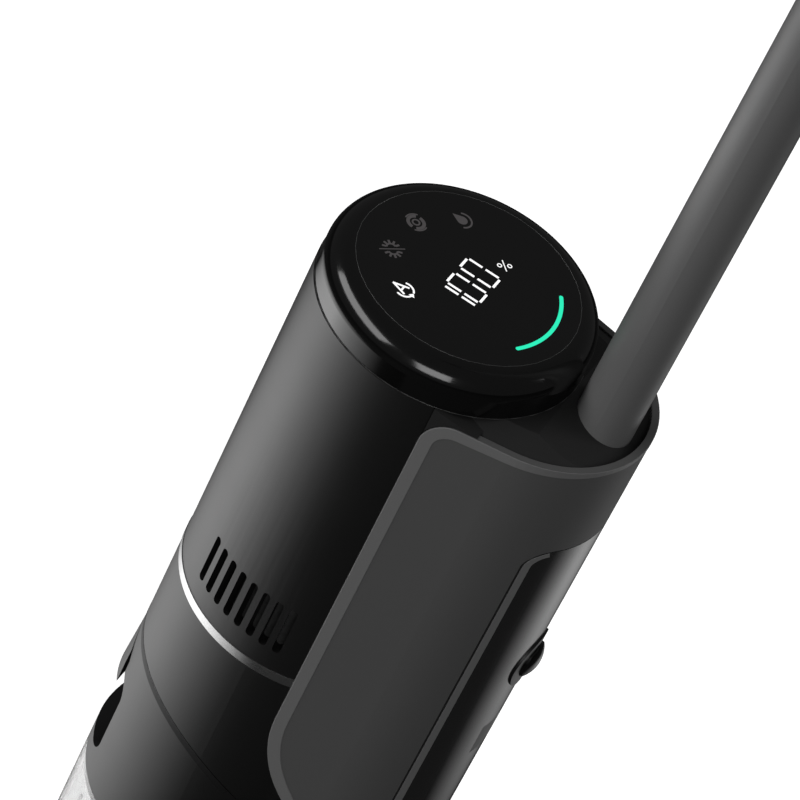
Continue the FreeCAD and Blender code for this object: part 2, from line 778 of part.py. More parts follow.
# ---------------------------------------------------------------- clean tank at the rear
def clean_tank():
    low, top = bay_low + seam_gap, window_top - seam_gap
    w = window_half

    def tank_plan(inset):
        inset = size(inset)
        side, front, back = w - inset, spine_radius + seam_gap + inset, rear_radius - inset
        front_y = root(front * front - side * side)
        back_y = rear_centre + root(back * back - side * side)
        return [(-side, front_y, front, 1), (side, front_y), (side, back_y, back, -1), (-side, back_y)]

    shell = slab("clean_tank_shell", "XY", [tank_plan(0)], low, top)
    ease(shell, "Fillet", tank_corner - seam_gap, upright_corner(w, top))
    pocket(shell, "XY", [tank_plan(wall)], low + wall, top - tank_corner)
    del made["clean_tank_shell"]
    button_z = window_top - button_drop
    rear = rear_centre + rear_radius
    boss = cylinder("button_boss", button_radius + 2.4, rear - 9, rear - 3, z=button_z, turn=ALONG_Y)
    bore = cylinder("button_bore", button_radius + 3 * slip, rear - 7, rear + 3, z=button_z, turn=ALONG_Y)
    plug_hole = block("plug_hole", -12 - slip, 12 + slip, rear - 9, rear + 3,
                      button_z - 54 - slip, button_z - 37 + slip)
    openings = combine("Compound", "tank_openings", bore, plug_hole)
    keep("clean_tank", combine("Cut", "clean_tank_cut", combine("Fuse", "clean_tank_solid", shell, boss), openings))

    face = combine("Cut", "ring_face", cylinder("ring_front", rear_radius + ring_proud, low, top, y=rear_centre),
                   cylinder("ring_back", rear_radius, low - 1, top + 1, y=rear_centre))
    skin = combine("Common", "ring_blank", face,
                   cylinder("ring_disc", 14, rear - 8, rear + 3, z=button_z, turn=ALONG_Y))
    keep("button_ring", combine("Cut", "button_ring_cut", skin,
                                cylinder("ring_bore", button_radius + 3 * slip, rear - 6, rear + 3, z=button_z,
                                         turn=ALONG_Y)))
    dome_rise = size(3)
    dome = (button_radius * button_radius + dome_rise * dome_rise) / (2 * dome_rise)
    place(lathe("tank_button", [
        (0, 0), (button_radius, 0), (button_radius, 4.6, dome, -1), (0, 4.6 + dome_rise),
    ]), y=rear - 3.1, z=button_z, turn=ALONG_Y)
    plug = block("plug_block", -12, 12, rear - 6, rear + 1, button_z - 54, button_z - 37)
    keep("filler_plug", combine("Common", "filler_plug_solid", plug,
                                cylinder("plug_face", rear_radius, low, top, y=rear_centre)))


# ---------------------------------------------------------------- handle
def handle():
    tube_low = window_top + 4
    tube_top = tube_low + tube_length
    place(lathe("handle_tube", [
        (tube_radius - tube_wall, tube_low), (tube_radius, tube_low), (tube_radius, tube_top),
        (tube_radius - tube_wall, tube_top),
    ]), y=tube_y)
    outer_depth, outer_height = loop_half_depth + grip_radius, loop_half_height + grip_radius
    inner_depth, inner_height = loop_half_depth - grip_radius, loop_half_height - grip_radius
    loop_z = tube_top + 7 + outer_height
    loop = slab("grip_outline", "YZ", [
        soft_rectangle(tube_y - outer_depth, tube_y + outer_depth, loop_z - outer_height, loop_z + outer_height, 30),
        soft_rectangle(tube_y - inner_depth, tube_y + inner_depth, loop_z - inner_height, loop_z + inner_height, 16),
    ], -grip_radius, grip_radius)
    del made["grip_outline"]
    ease(loop, "Fillet", grip_radius * 0.6, lambda b: b.XLength < 0.01 and near(abs(b.XMax), grip_radius))
    stem = lathe("grip_stem", [
        (tube_radius + slip, tube_top - 30), (tube_radius + 2.6, tube_top - 30), (tube_radius + 2.6, tube_top + 12),
        (0, tube_top + 12), (0, tube_top), (tube_radius + slip, tube_top),
    ])
    place(stem, y=tube_y)
    del made["grip_stem"]
    top = loop_z + outer_height
    pitch = 10.5
    wells = [cylinder(f"button_well_{i}", 4.2, top - 5, top + 1, y=tube_y + pitch * (i - 1)) for i in range(3)]
    pad_room = block("pad_room", -20, 20, tube_y + inner_depth - 2, tube_y + inner_depth + 1.6,
                     loop_z - inner_height + 18, loop_z + inner_height - 18)
    keep("grip_loop", combine("Cut", "grip_cut", combine("Fuse", "grip_solid", loop, stem),
                              combine("Fuse", "grip_rooms", pad_room, *wells)))
    keep("grip_pad", block("grip_pad_block", -9, 9, tube_y + inner_depth, tube_y + inner_depth + 1.6,
                           loop_z - inner_height + 19, loop_z + inner_height - 19))
    for i, name in enumerate(("power_button", "mode_button", "clean_button")):
        keep(name, cylinder(f"{name}_disc", 3.9, top - 3, top, y=tube_y + pitch * (i - 1)))


# ---------------------------------------------------------------- lower shell, neck and pivots
def lower_shell():
    body = new_body("lower_loft")
    del made["lower_loft"]
    top = sketch_on(body, "XY", foot_top)
    draw(top, hull(body_radius, rear_radius, rear_centre))
    base = sketch_on(body, "XY", foot_low)
    draw(base, hull(foot_front_radius, foot_rear_radius, foot_spacing))
    loft = body.newObject("PartDesign::AdditiveLoft", "lower_loft_feature")
    loft.Profile = top
    loft.Sections = [base]
    checked(body, None, True)
    web_half = boss_radius - 3
    front, rear = front_boss_rear - front_boss_depth, rear_boss_front + rear_boss_depth
    front_web = block("front_web", -web_half, web_half, front, front_boss_rear, lean_z, foot_low + 2)
    rear_web = block("rear_web", -web_half, web_half, rear_boss_front, rear, lean_z, foot_low + 20)
    front_boss = cylinder("front_boss", boss_radius, front, front_boss_rear, z=lean_z, turn=ALONG_Y)
    rear_boss = cylinder("rear_boss", boss_radius, rear_boss_front, rear, z=lean_z, turn=ALONG_Y)
    bore = cylinder("lean_bore", journal_radius + running, front - 10, rear + 10, z=lean_z, turn=ALONG_Y)
    room = cylinder("pump_room", foot_front_radius - 2, foot_low + 4, foot_top + 1)
    hose_way = cylinder("hose_way", 11, foot_low - 1, foot_low + 6, y=hose_y)
    solid = combine("Fuse", "lower_solid", body, front_web, rear_web, front_boss, rear_boss)
    keep("lower_shell", combine("Cut", "lower_cut", solid,
                                combine("Compound", "lower_rooms", bore, combine("Fuse", "lower_well", room,
                                                                                 hose_way))))


def neck_yoke():
    column = block("yoke_column", -yoke_half, yoke_half, yoke_front, yoke_rear, pivot_z, lean_z)
    crown = cylinder("yoke_crown", yoke_half, yoke_front, yoke_rear, z=lean_z, turn=ALONG_Y)
    barrel = cylinder("yoke_barrel", barrel_radius, -barrel_half, barrel_half, y=pivot_y, z=pivot_z, turn=ALONG_X)
    journal = cylinder("yoke_journal", journal_radius, front_boss_rear - front_boss_depth,
                       rear_boss_front + rear_boss_depth, z=lean_z, turn=ALONG_Y)
    clip_arm = block("yoke_arm", -5, 5, hose_y + hose_radius + 1, yoke_front + 1, lean_z - 24, lean_z - 17)
    clip = cylinder("yoke_clip", hose_radius + 3, lean_z - 24, lean_z - 17, y=hose_y)
    bore = cylinder("yoke_bore", pin_radius + running, -post_inner, post_inner, y=pivot_y, z=pivot_z, turn=ALONG_X)
    hose_bore = cylinder("yoke_hose_bore", hose_radius, lean_z - 25, lean_z - 16, y=hose_y)
    solid = combine("Fuse", "yoke_solid", column, crown, barrel, journal, clip_arm, clip)
    keep("neck_yoke", combine("Cut", "yoke_cut", solid, combine("Compound", "yoke_bores", bore, hose_bore)))
    keep("tilt_pin", cylinder("tilt_pin_rod", pin_radius, -(post_inner + post_thick + 1), post_inner + post_thick + 1,
                              y=pivot_y, z=pivot_z, turn=ALONG_X))
    place(lathe("neck_hose", [
        (hose_radius - 2, lean_z - 26), (hose_radius, lean_z - 26), (hose_radius, lean_z + 16),
        (hose_radius - 2, lean_z + 16),
    ]), y=hose_y)


# ---------------------------------------------------------------- floor head
def tray_outline(inset=0):
    """The floor head's plan behind the roller, anticlockwise."""
    i = size(inset)
    wide, narrow = bay_half - i, tray_half - i
    return [(-wide, tray_front + i), (wide, tray_front + i), (wide, 25 - i), (narrow, 60 - i),
            (narrow, tray_rear - i), (-narrow, tray_rear - i), (-narrow, 60 - i), (-wide, 25 - i)]


def head_base():
    tray = slab("tray", "XY", [tray_outline()], floor_clearance, tray_top)
    pocket(tray, "XY", [tray_outline(tray_wall)], floor_clearance + tray_wall, tray_top + 1)
    del made["tray"]
    posts = [block(f"post_{side}", x, x + post_thick, pivot_y - 10, pivot_y + 12, floor_clearance + 2, pivot_z + 11)
             for side, x in (("left", post_inner), ("right", -post_inner - post_thick))]
    cuts = [
        cylinder("post_bore", pin_radius, -(post_inner + post_thick + 2), post_inner + post_thick + 2, y=pivot_y, z=pivot_z, turn=ALONG_X),
        cylinder("axle_bore", 4, -tray_half - 1, tray_half + 1, y=wheel_y, z=wheel_z, turn=ALONG_X),
        cylinder("shaft_bore", roller_shaft + running, bay_half - 4, bay_half + 1, y=motor_y, z=roller_z, turn=ALONG_X),
        block("mouth", -mouth_half, mouth_half, tray_front - 1, tray_front + 4, floor_clearance + 5,
              floor_clearance + 5 + mouth_height),
    ]
    keep("head_base", combine("Cut", "head_base_cut", combine("Fuse", "head_base_solid", tray, *posts),
                              combine("Compound", "head_base_cuts", *cuts)))
    wide, throat = duct_wide, duct_throat
    duct = slab("duct_funnel", "XY", [[
        (-wide, tray_front + 3), (wide, tray_front + 3), (wide, tray_front + 9), (throat, hose_y + 16),
        (-throat, hose_y + 16), (-wide, tray_front + 9),
    ]], floor_clearance + tray_wall, floor_clearance + mouth_height + 7)
    pocket(duct, "XY", [[
        (-mouth_half, tray_front + 2), (mouth_half, tray_front + 2), (mouth_half, tray_front + 8),
        (throat - 3, hose_y + 13), (3 - throat, hose_y + 13), (-mouth_half, tray_front + 8),
    ]], floor_clearance + 5, floor_clearance + 5 + mouth_height)
    del made["duct_funnel"]
    riser = cylinder("duct_riser", hose_radius, floor_clearance + mouth_height + 7, pivot_z + 8, y=hose_y)
    way = cylinder("duct_way", hose_radius - 2, floor_clearance + mouth_height + 4, pivot_z + 9, y=hose_y)
    keep("suction_duct", combine("Cut", "duct_cut", combine("Fuse", "duct_solid", duct, riser), way))
    keep("rear_squeegee", block("squeegee_blade", -bay_half + 3, bay_half - 3, tray_front + 4, tray_front + 8,
                                0, floor_clearance))


def head_cover():
    inner = head_top - wall
    slot_half = post_inner + post_thick + 7
    shell = slab("cover_side", "YZ", [[
        (tray_front, tray_top), (tray_rear, tray_top), (tray_rear, tray_top + 5), (70, head_top - 6),
        (25, head_top), (tray_front, head_top),
    ]], -bay_half, bay_half)
    pocket(shell, "YZ", [[
        (tray_front + 3, tray_top - 1), (tray_rear - 3, tray_top - 1), (tray_rear - 3, tray_top + 2),
        (69, inner - 6), (24.7, inner), (tray_front + 3, inner),
    ]], -bay_half + 3, bay_half - 3)
    plan = slab("cover_plan", "XY", [tray_outline()], tray_top, head_top)
    slot = slab("neck_slot", "XY", [rectangle(-slot_half, slot_half, 34, tray_rear + 1)], tray_top - 1, head_top + 1)
    throat = slab("hose_slot", "XY", [rectangle(-19, 19, hose_y - 19, 35)], tray_top - 1, head_top + 1)
    for scrap in ("cover_side", "cover_plan", "neck_slot", "hose_slot"):
        del made[scrap]
    keep("head_cover", combine("Cut", "head_cover_cut", combine("Common", "head_cover_solid", shell, plan),
                               combine("Fuse", "head_cover_slots", slot, throat)))


def hood_outline(rear, low_angle, outer):
    """Side view of the roller's hood or of an end cheek: a quarter round in front and a flat top."""
    return (roller_y - outer * cosine(low_angle), roller_z - outer * sine(low_angle), outer, 1), (
        roller_y, roller_z + outer), (rear, roller_z + outer)


def roller_cover():
    rear = tray_front - seam_gap
    front_outer = hood_outline(rear, 15, hood_outer)
    inner = hood_inner
    slab("roller_cover", "YZ", [[
        *front_outer, (rear, roller_z + inner), (roller_y, roller_z + inner, inner, -1),
        (roller_y - inner * cosine(15), roller_z - inner * sine(15)),
    ]], -bay_half + seam_gap, bay_half - seam_gap)


def cheek_outline(inset=0):
    i = size(inset)
    outer = hood_outer - i
    return [*hood_outline(-20, 40, outer), (25 - i, 50 - i), (25 - i, floor_clearance + i),
            (roller_y - outer * cosine(40), floor_clearance + i)]


def head_ends():
    for side, sign in (("left", 1), ("right", -1)):
        near_x, far_x = bay_half * sign, (bay_half + cheek) * sign
        low, high = (near_x, far_x) if sign > 0 else (far_x, near_x)
        name = f"end_cheek_{side}"
        body = slab(name, "YZ", [cheek_outline()], low, high)
        room = (low + 3, high + 1) if sign > 0 else (low - 1, high - 3)
        pocket(body, "YZ", [cheek_outline(3)], *room)
        pocket(body, "YZ", [(roller_y, roller_z, roller_shaft + running)], low - 1, high + 1)
        if sign > 0:
            pocket(body, "YZ", [(motor_y, roller_z, roller_shaft + running)], low - 1, high + 1)
        cover = (high, high + side_cover) if sign > 0 else (low - side_cover, low)
        slab(f"side_cover_{side}", "YZ", [cheek_outline()], *cover)


def roller():
    end = bay_half - 3
    core = lathe("roller_core", [
        (0, -(bay_half + 3)), (roller_shaft, -(bay_half + 3)), (roller_shaft, -end), (brush_core, -end),
        (brush_core, end), (roller_shaft, end), (roller_shaft, bay_half + 9), (0, bay_half + 9),
    ], [(7, -end + 4), (brush_core - 3, -end + 4), (brush_core - 3, end - 4), (7, end - 4)])
    brush = lathe("roller_brush", [
        (brush_core, -end + 1), (roller_radius, -end + 1), (roller_radius, end - 1), (brush_core, end - 1),
    ])
    pulley = lathe("roller_pulley", [
        (roller_shaft, bay_half + 3.5), (big_pulley, bay_half + 3.5),
        (big_pulley, bay_half + belt_width + 4.5), (roller_shaft, bay_half + belt_width + 4.5),
    ])
    for piece in (core, brush, pulley):
        place(piece, y=roller_y, z=roller_z, turn=ALONG_X)


def roller_drive():
    share = (hose_y + 16 - motor_y + motor_can) / (hose_y + 7 - tray_front)
    motor_start = duct_throat + (duct_wide - duct_throat) * share + 5
    keep("roller_motor", cylinder("roller_motor_can", motor_can, motor_start, bay_half - 6, y=motor_y, z=roller_z,
                                  turn=ALONG_X))
    place(lathe("motor_pulley", [
        (0, bay_half - 5.5), (roller_shaft, bay_half - 5.5), (roller_shaft, bay_half + 3.5),
        (small_pulley, bay_half + 3.5), (small_pulley, bay_half + belt_width + 4.5),
        (0, bay_half + belt_width + 4.5),
    ]), y=motor_y, z=roller_z, turn=ALONG_X)
    span = motor_y - roller_y
    slack = seam_gap

    def loop(grow):
        corners = []
        for corner in hull(big_pulley + grow, small_pulley + grow, span):
            y, z = roller_y + corner[1], roller_z + corner[0]
            corners.append((y, z, corner[2], 1) if len(corner) == 4 else (y, z))
        return corners

    slab("drive_belt", "YZ", [loop(slack + 1.2), loop(slack)], bay_half + 4,
         bay_half + 4 + belt_width)


def head_fittings():
    keep("scraper_bar", block("scraper_block", -bay_half + 2, bay_half - 2, tray_front - 4, tray_front, 44, 50))
    keep("spray_bar", block("spray_block", -bay_half + 10, bay_half - 10, tray_front - 7, tray_front, 54, 60))
    inner, outer = tray_half + 3, tray_half + 3 + wheel_width
    place(lathe("wheel_axle", [
        (0, -outer - 2), (6, -outer - 2), (6, -outer - seam_gap), (4, -outer - seam_gap), (4, outer + seam_gap),
        (6, outer + seam_gap), (6, outer + 2), (0, outer + 2),
    ]), y=wheel_y, z=wheel_z, turn=ALONG_X)
    for side, sign in (("left", 1), ("right", -1)):
        low, high = (inner, outer) if sign > 0 else (-outer, -inner)
        place(lathe(f"wheel_{side}", [
            (4 + running, low), (wheel_radius - 2, low, 2, -1), (wheel_radius, low + 2),
            (wheel_radius, high - 2, 2, -1), (wheel_radius - 2, high), (4 + running, high),
        ]), y=wheel_y, z=wheel_z, turn=ALONG_X)


# ---------------------------------------------------------------- build, check and write
def write_parts():
    doc.recompute()
    for thing in doc.Objects:
        if "Invalid" in thing.State or "Error" in thing.State:
            raise ValueError(f"{thing.Name} failed: {thing.State}")
    os.makedirs("parts", exist_ok=True)
    for name, thing in made.items():
        shape = thing.Shape
        if shape.isNull() or not shape.isValid() or shape.Volume <= 0:
            raise ValueError(f"{name} has no valid solid")
        if len(shape.Solids) != 1:
            raise ValueError(f"{name} is {len(shape.Solids)} solids")
    for name, thing in made.items():
        thing.Shape.exportStep(f"parts/{name}.step")
        print(f"{name}: {thing.Shape.Volume / 1000:.2f} cm3")
    print(len(made), "nodes")


display_cap()
motor_housing()
trim_ring()
crescent = frame_crescent()
collar_shell(crescent)
rear_frame(crescent)
deck()
drive_stack()
tank_lid()
release_flap()
dirty_tank()
clean_tank()
handle()
lower_shell()
neck_yoke()
head_base()
head_cover()
roller_cover()
head_ends()
roller()
roller_drive()
head_fittings()
write_parts()
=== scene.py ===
# %% [markdown]
# # A cordless wet and dry floor washer
# The machine stands upright: a round body with a display on top, a handle tube behind it, two water tanks,
# and a floor head with a driven roller. The moving frame of solid parts is loaded first, and everything made
# here is placed from the boxes of those parts, so nothing needs fitting by eye. Lengths are metres and +Z is
# up.

# %% Load the frame
import math

import bmesh
import bpy
from mathutils import Matrix, Vector


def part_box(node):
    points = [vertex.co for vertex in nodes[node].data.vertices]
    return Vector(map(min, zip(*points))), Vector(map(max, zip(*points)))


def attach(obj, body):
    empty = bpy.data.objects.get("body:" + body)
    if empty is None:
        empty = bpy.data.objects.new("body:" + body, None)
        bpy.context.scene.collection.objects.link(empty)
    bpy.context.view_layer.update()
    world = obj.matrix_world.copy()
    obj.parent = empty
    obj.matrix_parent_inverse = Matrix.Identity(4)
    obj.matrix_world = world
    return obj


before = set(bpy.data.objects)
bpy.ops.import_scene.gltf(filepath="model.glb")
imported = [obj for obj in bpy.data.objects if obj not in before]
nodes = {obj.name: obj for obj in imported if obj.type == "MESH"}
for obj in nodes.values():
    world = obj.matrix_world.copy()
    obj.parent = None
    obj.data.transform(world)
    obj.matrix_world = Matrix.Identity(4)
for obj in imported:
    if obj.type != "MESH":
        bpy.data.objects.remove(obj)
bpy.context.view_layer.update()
MM = 0.001

# %% [markdown]
# The pieces are measured once. A node's box gives its lowest and highest corner, and the round ones give
# their own radius, so the display, the ribs and the bristles below all follow the solid parts.

# %% Measure the pieces that others are placed on
cap_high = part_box("display_cap")[1]
glass_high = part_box("display_glass")[1]
housing_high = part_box("motor_housing")[1]
frame_low, frame_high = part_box("rear_frame")
brush_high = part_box("roller_brush")[1]
TOP = glass_high[2]
BODY_RADIUS = housing_high[0]
GLASS_RADIUS = glass_high[0]
REAR_RADIUS = 0.050
REAR_CENTRE = frame_high[1] - REAR_RADIUS
print("display top at", round(TOP, 4), "body radius", round(BODY_RADIUS, 4))

# %% [markdown]
# ## Camera
# The view looks down at the display from the user's left with a long lens, so that the body crosses the frame
# from the lower left and the handle tube leaves it at the upper right. A long lens keeps the round cap nearly
# free of perspective, and the whole rotation is written as the camera's three axes.

# %% Camera
camera_data = bpy.data.cameras.new("camera")
camera_data.lens = 213.765
camera_data.sensor_width = 36
camera_data.clip_end = 50
camera = bpy.data.objects.new("camera", camera_data)
bpy.context.scene.collection.objects.link(camera)
right = Vector((-0.44118555, 0.8310571, 0.33867301))
up = Vector((-0.50637763, -0.54210525, 0.67059942))
back = Vector((0.74090283, 0.12436234, 0.65999773))
turn = Matrix((right, up, back)).transposed().to_4x4()
camera.matrix_world = Matrix.Translation((1.42375, 0.23629, 1.84411)) @ turn
bpy.context.scene.camera = camera
bpy.context.scene.view_settings.view_transform = "Standard"
print("camera at", [round(v, 3) for v in camera.location])

# %% [markdown]
# ## Studio
# The machine stands on a white sweep. Dark plastic only shows what it mirrors, so to the machine the floor is
# nearly black, and soft round glows lie on it: upright walls seen from above mirror the floor, and each glow
# becomes a long soft streak down the body. Panels overhead light the sloping and level faces.

# %% Floor, surround and lights
def by_camera(tree, to_eye, to_rest, out):
    """Gives one shader to the eye and to rays through clear plastic, the other to the rest."""
    path = tree.nodes.new("ShaderNodeLightPath")
    either = tree.nodes.new("ShaderNodeMath")
    either.operation = "MAXIMUM"
    mix = tree.nodes.new("ShaderNodeMixShader")
    tree.links.new(path.outputs["Is Camera Ray"], either.inputs[0])
    tree.links.new(path.outputs["Is Transmission Ray"], either.inputs[1])
    tree.links.new(either.outputs[0], mix.inputs["Fac"])
    tree.links.new(to_rest.outputs[0], mix.inputs[1])
    tree.links.new(to_eye.outputs[0], mix.inputs[2])
    tree.links.new(mix.outputs[0], out.inputs["Surface"])


def lit_world(strength):
    world = bpy.data.worlds.new("surround")
    bpy.context.scene.world = world
    world.use_nodes = True
    tree = world.node_tree
    tree.nodes.clear()
    seen = tree.nodes.new("ShaderNodeBackground")
    soft = tree.nodes.new("ShaderNodeBackground")
    for shader, level in ((seen, 1.0), (soft, strength)):
        shader.inputs["Color"].default_value = (1, 1, 1, 1)
        shader.inputs["Strength"].default_value = level
    by_camera(tree, seen, soft, tree.nodes.new("ShaderNodeOutputWorld"))


def panel_light(name, place, target, width, height, power):
    """A rectangular soft light at place that faces target."""
    data = bpy.data.lights.new(name, "AREA")
    data.shape = "RECTANGLE"
    data.size = width
    data.size_y = height
    data.energy = power
    light = bpy.data.objects.new(name, data)
    bpy.context.scene.collection.objects.link(light)
    aim = Vector(target) - Vector(place)
    light.matrix_world = Matrix.Translation(place) @ aim.to_track_quat("-Z", "Y").to_matrix().to_4x4()
    return light


def level_plane(name, centre, reach, height, material):
    x, y = centre
    mesh = bpy.data.meshes.new(name)
    corners = [(x - reach, y - reach, height), (x + reach, y - reach, height),
               (x + reach, y + reach, height), (x - reach, y + reach, height)]
    mesh.from_pydata(corners, [], [(0, 1, 2, 3)])
    mesh.materials.append(material)
    plane = bpy.data.objects.new(name, mesh)
    bpy.context.scene.collection.objects.link(plane)
    return plane


def pale_floor():
    """White to the eye, with a faint contact shade, and nearly black to everything else."""
    material = bpy.data.materials.new("pale_floor")
    material.use_nodes = True
    tree = material.node_tree
    white = tree.nodes["Principled BSDF"]
    white.inputs["Base Color"].default_value = (0.8, 0.8, 0.8, 1)
    white.inputs["Roughness"].default_value = 1.0
    glow = tree.nodes.new("ShaderNodeEmission")
    glow.inputs["Strength"].default_value = 0.8
    both = tree.nodes.new("ShaderNodeAddShader")
    dark = tree.nodes.new("ShaderNodeBsdfDiffuse")
    dark.inputs["Color"].default_value = (0.05, 0.05, 0.05, 1)
    tree.links.new(white.outputs[0], both.inputs[0])
    tree.links.new(glow.outputs[0], both.inputs[1])
    by_camera(tree, both, dark, tree.nodes["Material Output"])
    return level_plane("floor", (0, 0), 12, 0, material)


def floor_glow(name, centre, reach, strength):
    """A round glow on the floor that fades from its centre to nothing at its rim, unseen by the eye."""
    material = bpy.data.materials.new(name)
    material.use_nodes = True
    tree = material.node_tree
    tree.nodes.remove(tree.nodes["Principled BSDF"])
    place = tree.nodes.new("ShaderNodeTexCoord")
    shift = tree.nodes.new("ShaderNodeMapping")
    shift.vector_type = "TEXTURE"
    shift.inputs["Location"].default_value = (*centre, 0)
    shift.inputs["Scale"].default_value = (reach, reach, reach)
    fade = tree.nodes.new("ShaderNodeTexGradient")
    fade.gradient_type = "SPHERICAL"
    level = tree.nodes.new("ShaderNodeMath")
    level.operation = "MULTIPLY"
    level.inputs[1].default_value = strength
    light = tree.nodes.new("ShaderNodeEmission")
    tree.links.new(place.outputs["Object"], shift.inputs["Vector"])
    tree.links.new(shift.outputs["Vector"], fade.inputs["Vector"])
    tree.links.new(fade.outputs["Fac"], level.inputs[0])
    tree.links.new(level.outputs[0], light.inputs["Strength"])
    tree.links.new(light.outputs[0], tree.nodes["Material Output"].inputs["Surface"])
    plane = level_plane(name, centre, reach, 0.0015, material)
    plane.visible_camera = False
    plane.visible_transmission = False
    plane.visible_shadow = False


lit_world(0.09)
pale_floor()
floor_glow("front_glow", (0.14, -0.74), 0.74, 3.5)
floor_glow("rear_glow", (-0.55, 0.55), 0.42, 1.1)
panel_light("side_panel", (2.9, 0.9, 2.1), (0, 0, 0.5), 1.5, 1.5, 34)
panel_light("edge_panel", (0.9, -1.6, 1.95), (0, 0, 0.62), 2.6, 0.9, 34)
panel_light("rear_panel", (-1.6, 2.4, 1.8), (0, 0, 0.5), 1.2, 1.6, 16)

# %% [markdown]
# ## Surface group shared by every finish
# Moulded plastic is never one even colour: it has a fine spark texture, and handling leaves slightly shinier
# clouds. One shader group makes both from noise on object coordinates. It puts out a colour, a roughness and
# a height, and each material keeps its own shader.

# %% The surface group
def surface_group():
    group = bpy.data.node_groups.new("moulded_surface", "ShaderNodeTree")
    sockets = (
        ("Grain Scale", "NodeSocketFloat", 4000), ("Cloud Scale", "NodeSocketFloat", 25),
        ("Color A", "NodeSocketColor", (0.02, 0.02, 0.02, 1)), ("Color B", "NodeSocketColor", (0.03, 0.03,
                                                                                               0.03, 1)),
        ("Rough Low", "NodeSocketFloat", 0.3), ("Rough High", "NodeSocketFloat", 0.4),
    )
    for name, kind, value in sockets:
        socket = group.interface.new_socket(name=name, in_out="INPUT", socket_type=kind)
        socket.default_value = value
    for name, kind in (("Color", "NodeSocketColor"), ("Roughness", "NodeSocketFloat"), ("Height",
                                                                                        "NodeSocketFloat")):
        group.interface.new_socket(name=name, in_out="OUTPUT", socket_type=kind)
    new, link = group.nodes.new, group.links.new
    inside, outside = new("NodeGroupInput"), new("NodeGroupOutput")
    place = new("ShaderNodeTexCoord")
    grain = new("ShaderNodeTexNoise")
    grain.inputs["Detail"].default_value = 1
    cloud = new("ShaderNodeTexNoise")
    cloud.inputs["Detail"].default_value = 4
    tint = new("ShaderNodeMix")
    tint.data_type = "RGBA"
    rough = new("ShaderNodeMapRange")
    link(place.outputs["Object"], grain.inputs["Vector"])
    link(place.outputs["Object"], cloud.inputs["Vector"])
    link(inside.outputs["Grain Scale"], grain.inputs["Scale"])
    link(inside.outputs["Cloud Scale"], cloud.inputs["Scale"])
    link(grain.outputs["Fac"], tint.inputs["Factor"])
    link(inside.outputs["Color A"], tint.inputs["A"])
    link(inside.outputs["Color B"], tint.inputs["B"])
    link(cloud.outputs["Fac"], rough.inputs["Value"])
    link(inside.outputs["Rough Low"], rough.inputs["To Min"])
    link(inside.outputs["Rough High"], rough.inputs["To Max"])
    link(tint.outputs["Result"], outside.inputs["Color"])
    link(rough.outputs["Result"], outside.inputs["Roughness"])
    link(grain.outputs["Fac"], outside.inputs["Height"])
    return group


moulded = surface_group()


def finish(name, dark, light, rough, grain=1500, bump=0.05, cloud=25, **sockets):
    """A material on the shared group; sockets are plain Principled values, such as metallic=1."""
    material = bpy.data.materials.new(name)
    material.use_nodes = True
    tree = material.node_tree
    shader = tree.nodes["Principled BSDF"]
    surface = tree.nodes.new("ShaderNodeGroup")
    surface.node_tree = moulded
    surface.inputs["Color A"].default_value = (*dark, 1)
    surface.inputs["Color B"].default_value = (*light, 1)
    surface.inputs["Rough Low"].default_value = rough[0]
    surface.inputs["Rough High"].default_value = rough[1]
    surface.inputs["Grain Scale"].default_value = grain
    surface.inputs["Cloud Scale"].default_value = cloud
    tree.links.new(surface.outputs["Color"], shader.inputs["Base Color"])
    tree.links.new(surface.outputs["Roughness"], shader.inputs["Roughness"])
    if bump:
        relief = tree.nodes.new("ShaderNodeBump")
        relief.inputs["Strength"].default_value = bump
        relief.inputs["Distance"].default_value = 0.0002
        tree.links.new(surface.outputs["Height"], relief.inputs["Height"])
        tree.links.new(relief.outputs["Normal"], shader.inputs["Normal"])
    for socket, value in sockets.items():
        shader.inputs[socket.replace("_", " ").title().replace("Ior", "IOR")].default_value = value
    return material


def grey(level, warm=0.0):
    return (level * (1 + warm), level, level * (1 - warm))


print("group outputs:", [item.name for item in moulded.interface.items_tree if item.in_out == "OUTPUT"])

# %% [markdown]
# ## Finishes
# The cap is piano black, the housing a satin black, the rear frame a softer dark grey, and the tube a fine
# powder coat. Tanks are clear and smoked polycarbonate. Each is one call with its own tones and grain.

# %% Plastics, metals and glass
piano_black = finish("piano_black", grey(0.003), grey(0.004), (0.11, 0.15), bump=0)
screen_glass = finish("screen_glass", grey(0.0045), grey(0.005), (0.05, 0.07), bump=0, ior=1.5)
satin_black = finish("satin_black", grey(0.004), grey(0.006), (0.36, 0.42), grain=2500, bump=0.05)
deck_black = finish("deck_black", grey(0.014), grey(0.018), (0.5, 0.58), grain=2500, bump=0.05,
                    specular_ior_level=0.25)
frame_grey = finish("frame_grey", grey(0.078), grey(0.086), (0.5, 0.58), grain=2500, bump=0.06,
                    specular_ior_level=0.3)
# The lip finish is a lighter grey than the frame: a painted highlight where the panel edges catch light.
frame_lip = finish("frame_lip", grey(0.145), grey(0.16), (0.45, 0.5), grain=2500, bump=0.04,
                   specular_ior_level=0.3)
tube_grey = finish("tube_grey", grey(0.14), grey(0.17), (0.42, 0.5), grain=3500, bump=0.1, metallic=0.2)
trim_steel = finish("trim_steel", grey(0.45), grey(0.6), (0.22, 0.32), grain=900, bump=0.03, metallic=1.0)
pin_steel = finish("pin_steel", grey(0.5), grey(0.62), (0.25, 0.35), grain=700, bump=0.03, metallic=1.0)
soft_rubber = finish("soft_rubber", grey(0.012), grey(0.02), (0.7, 0.85), grain=900, bump=0.2)
inner_grey = finish("inner_grey", grey(0.10), grey(0.13), (0.45, 0.6), grain=1200, bump=0.1)
filter_paper = finish("filter_paper", (0.62, 0.61, 0.56), (0.8, 0.79, 0.75), (0.85, 0.95), grain=600,
                      bump=0.3)
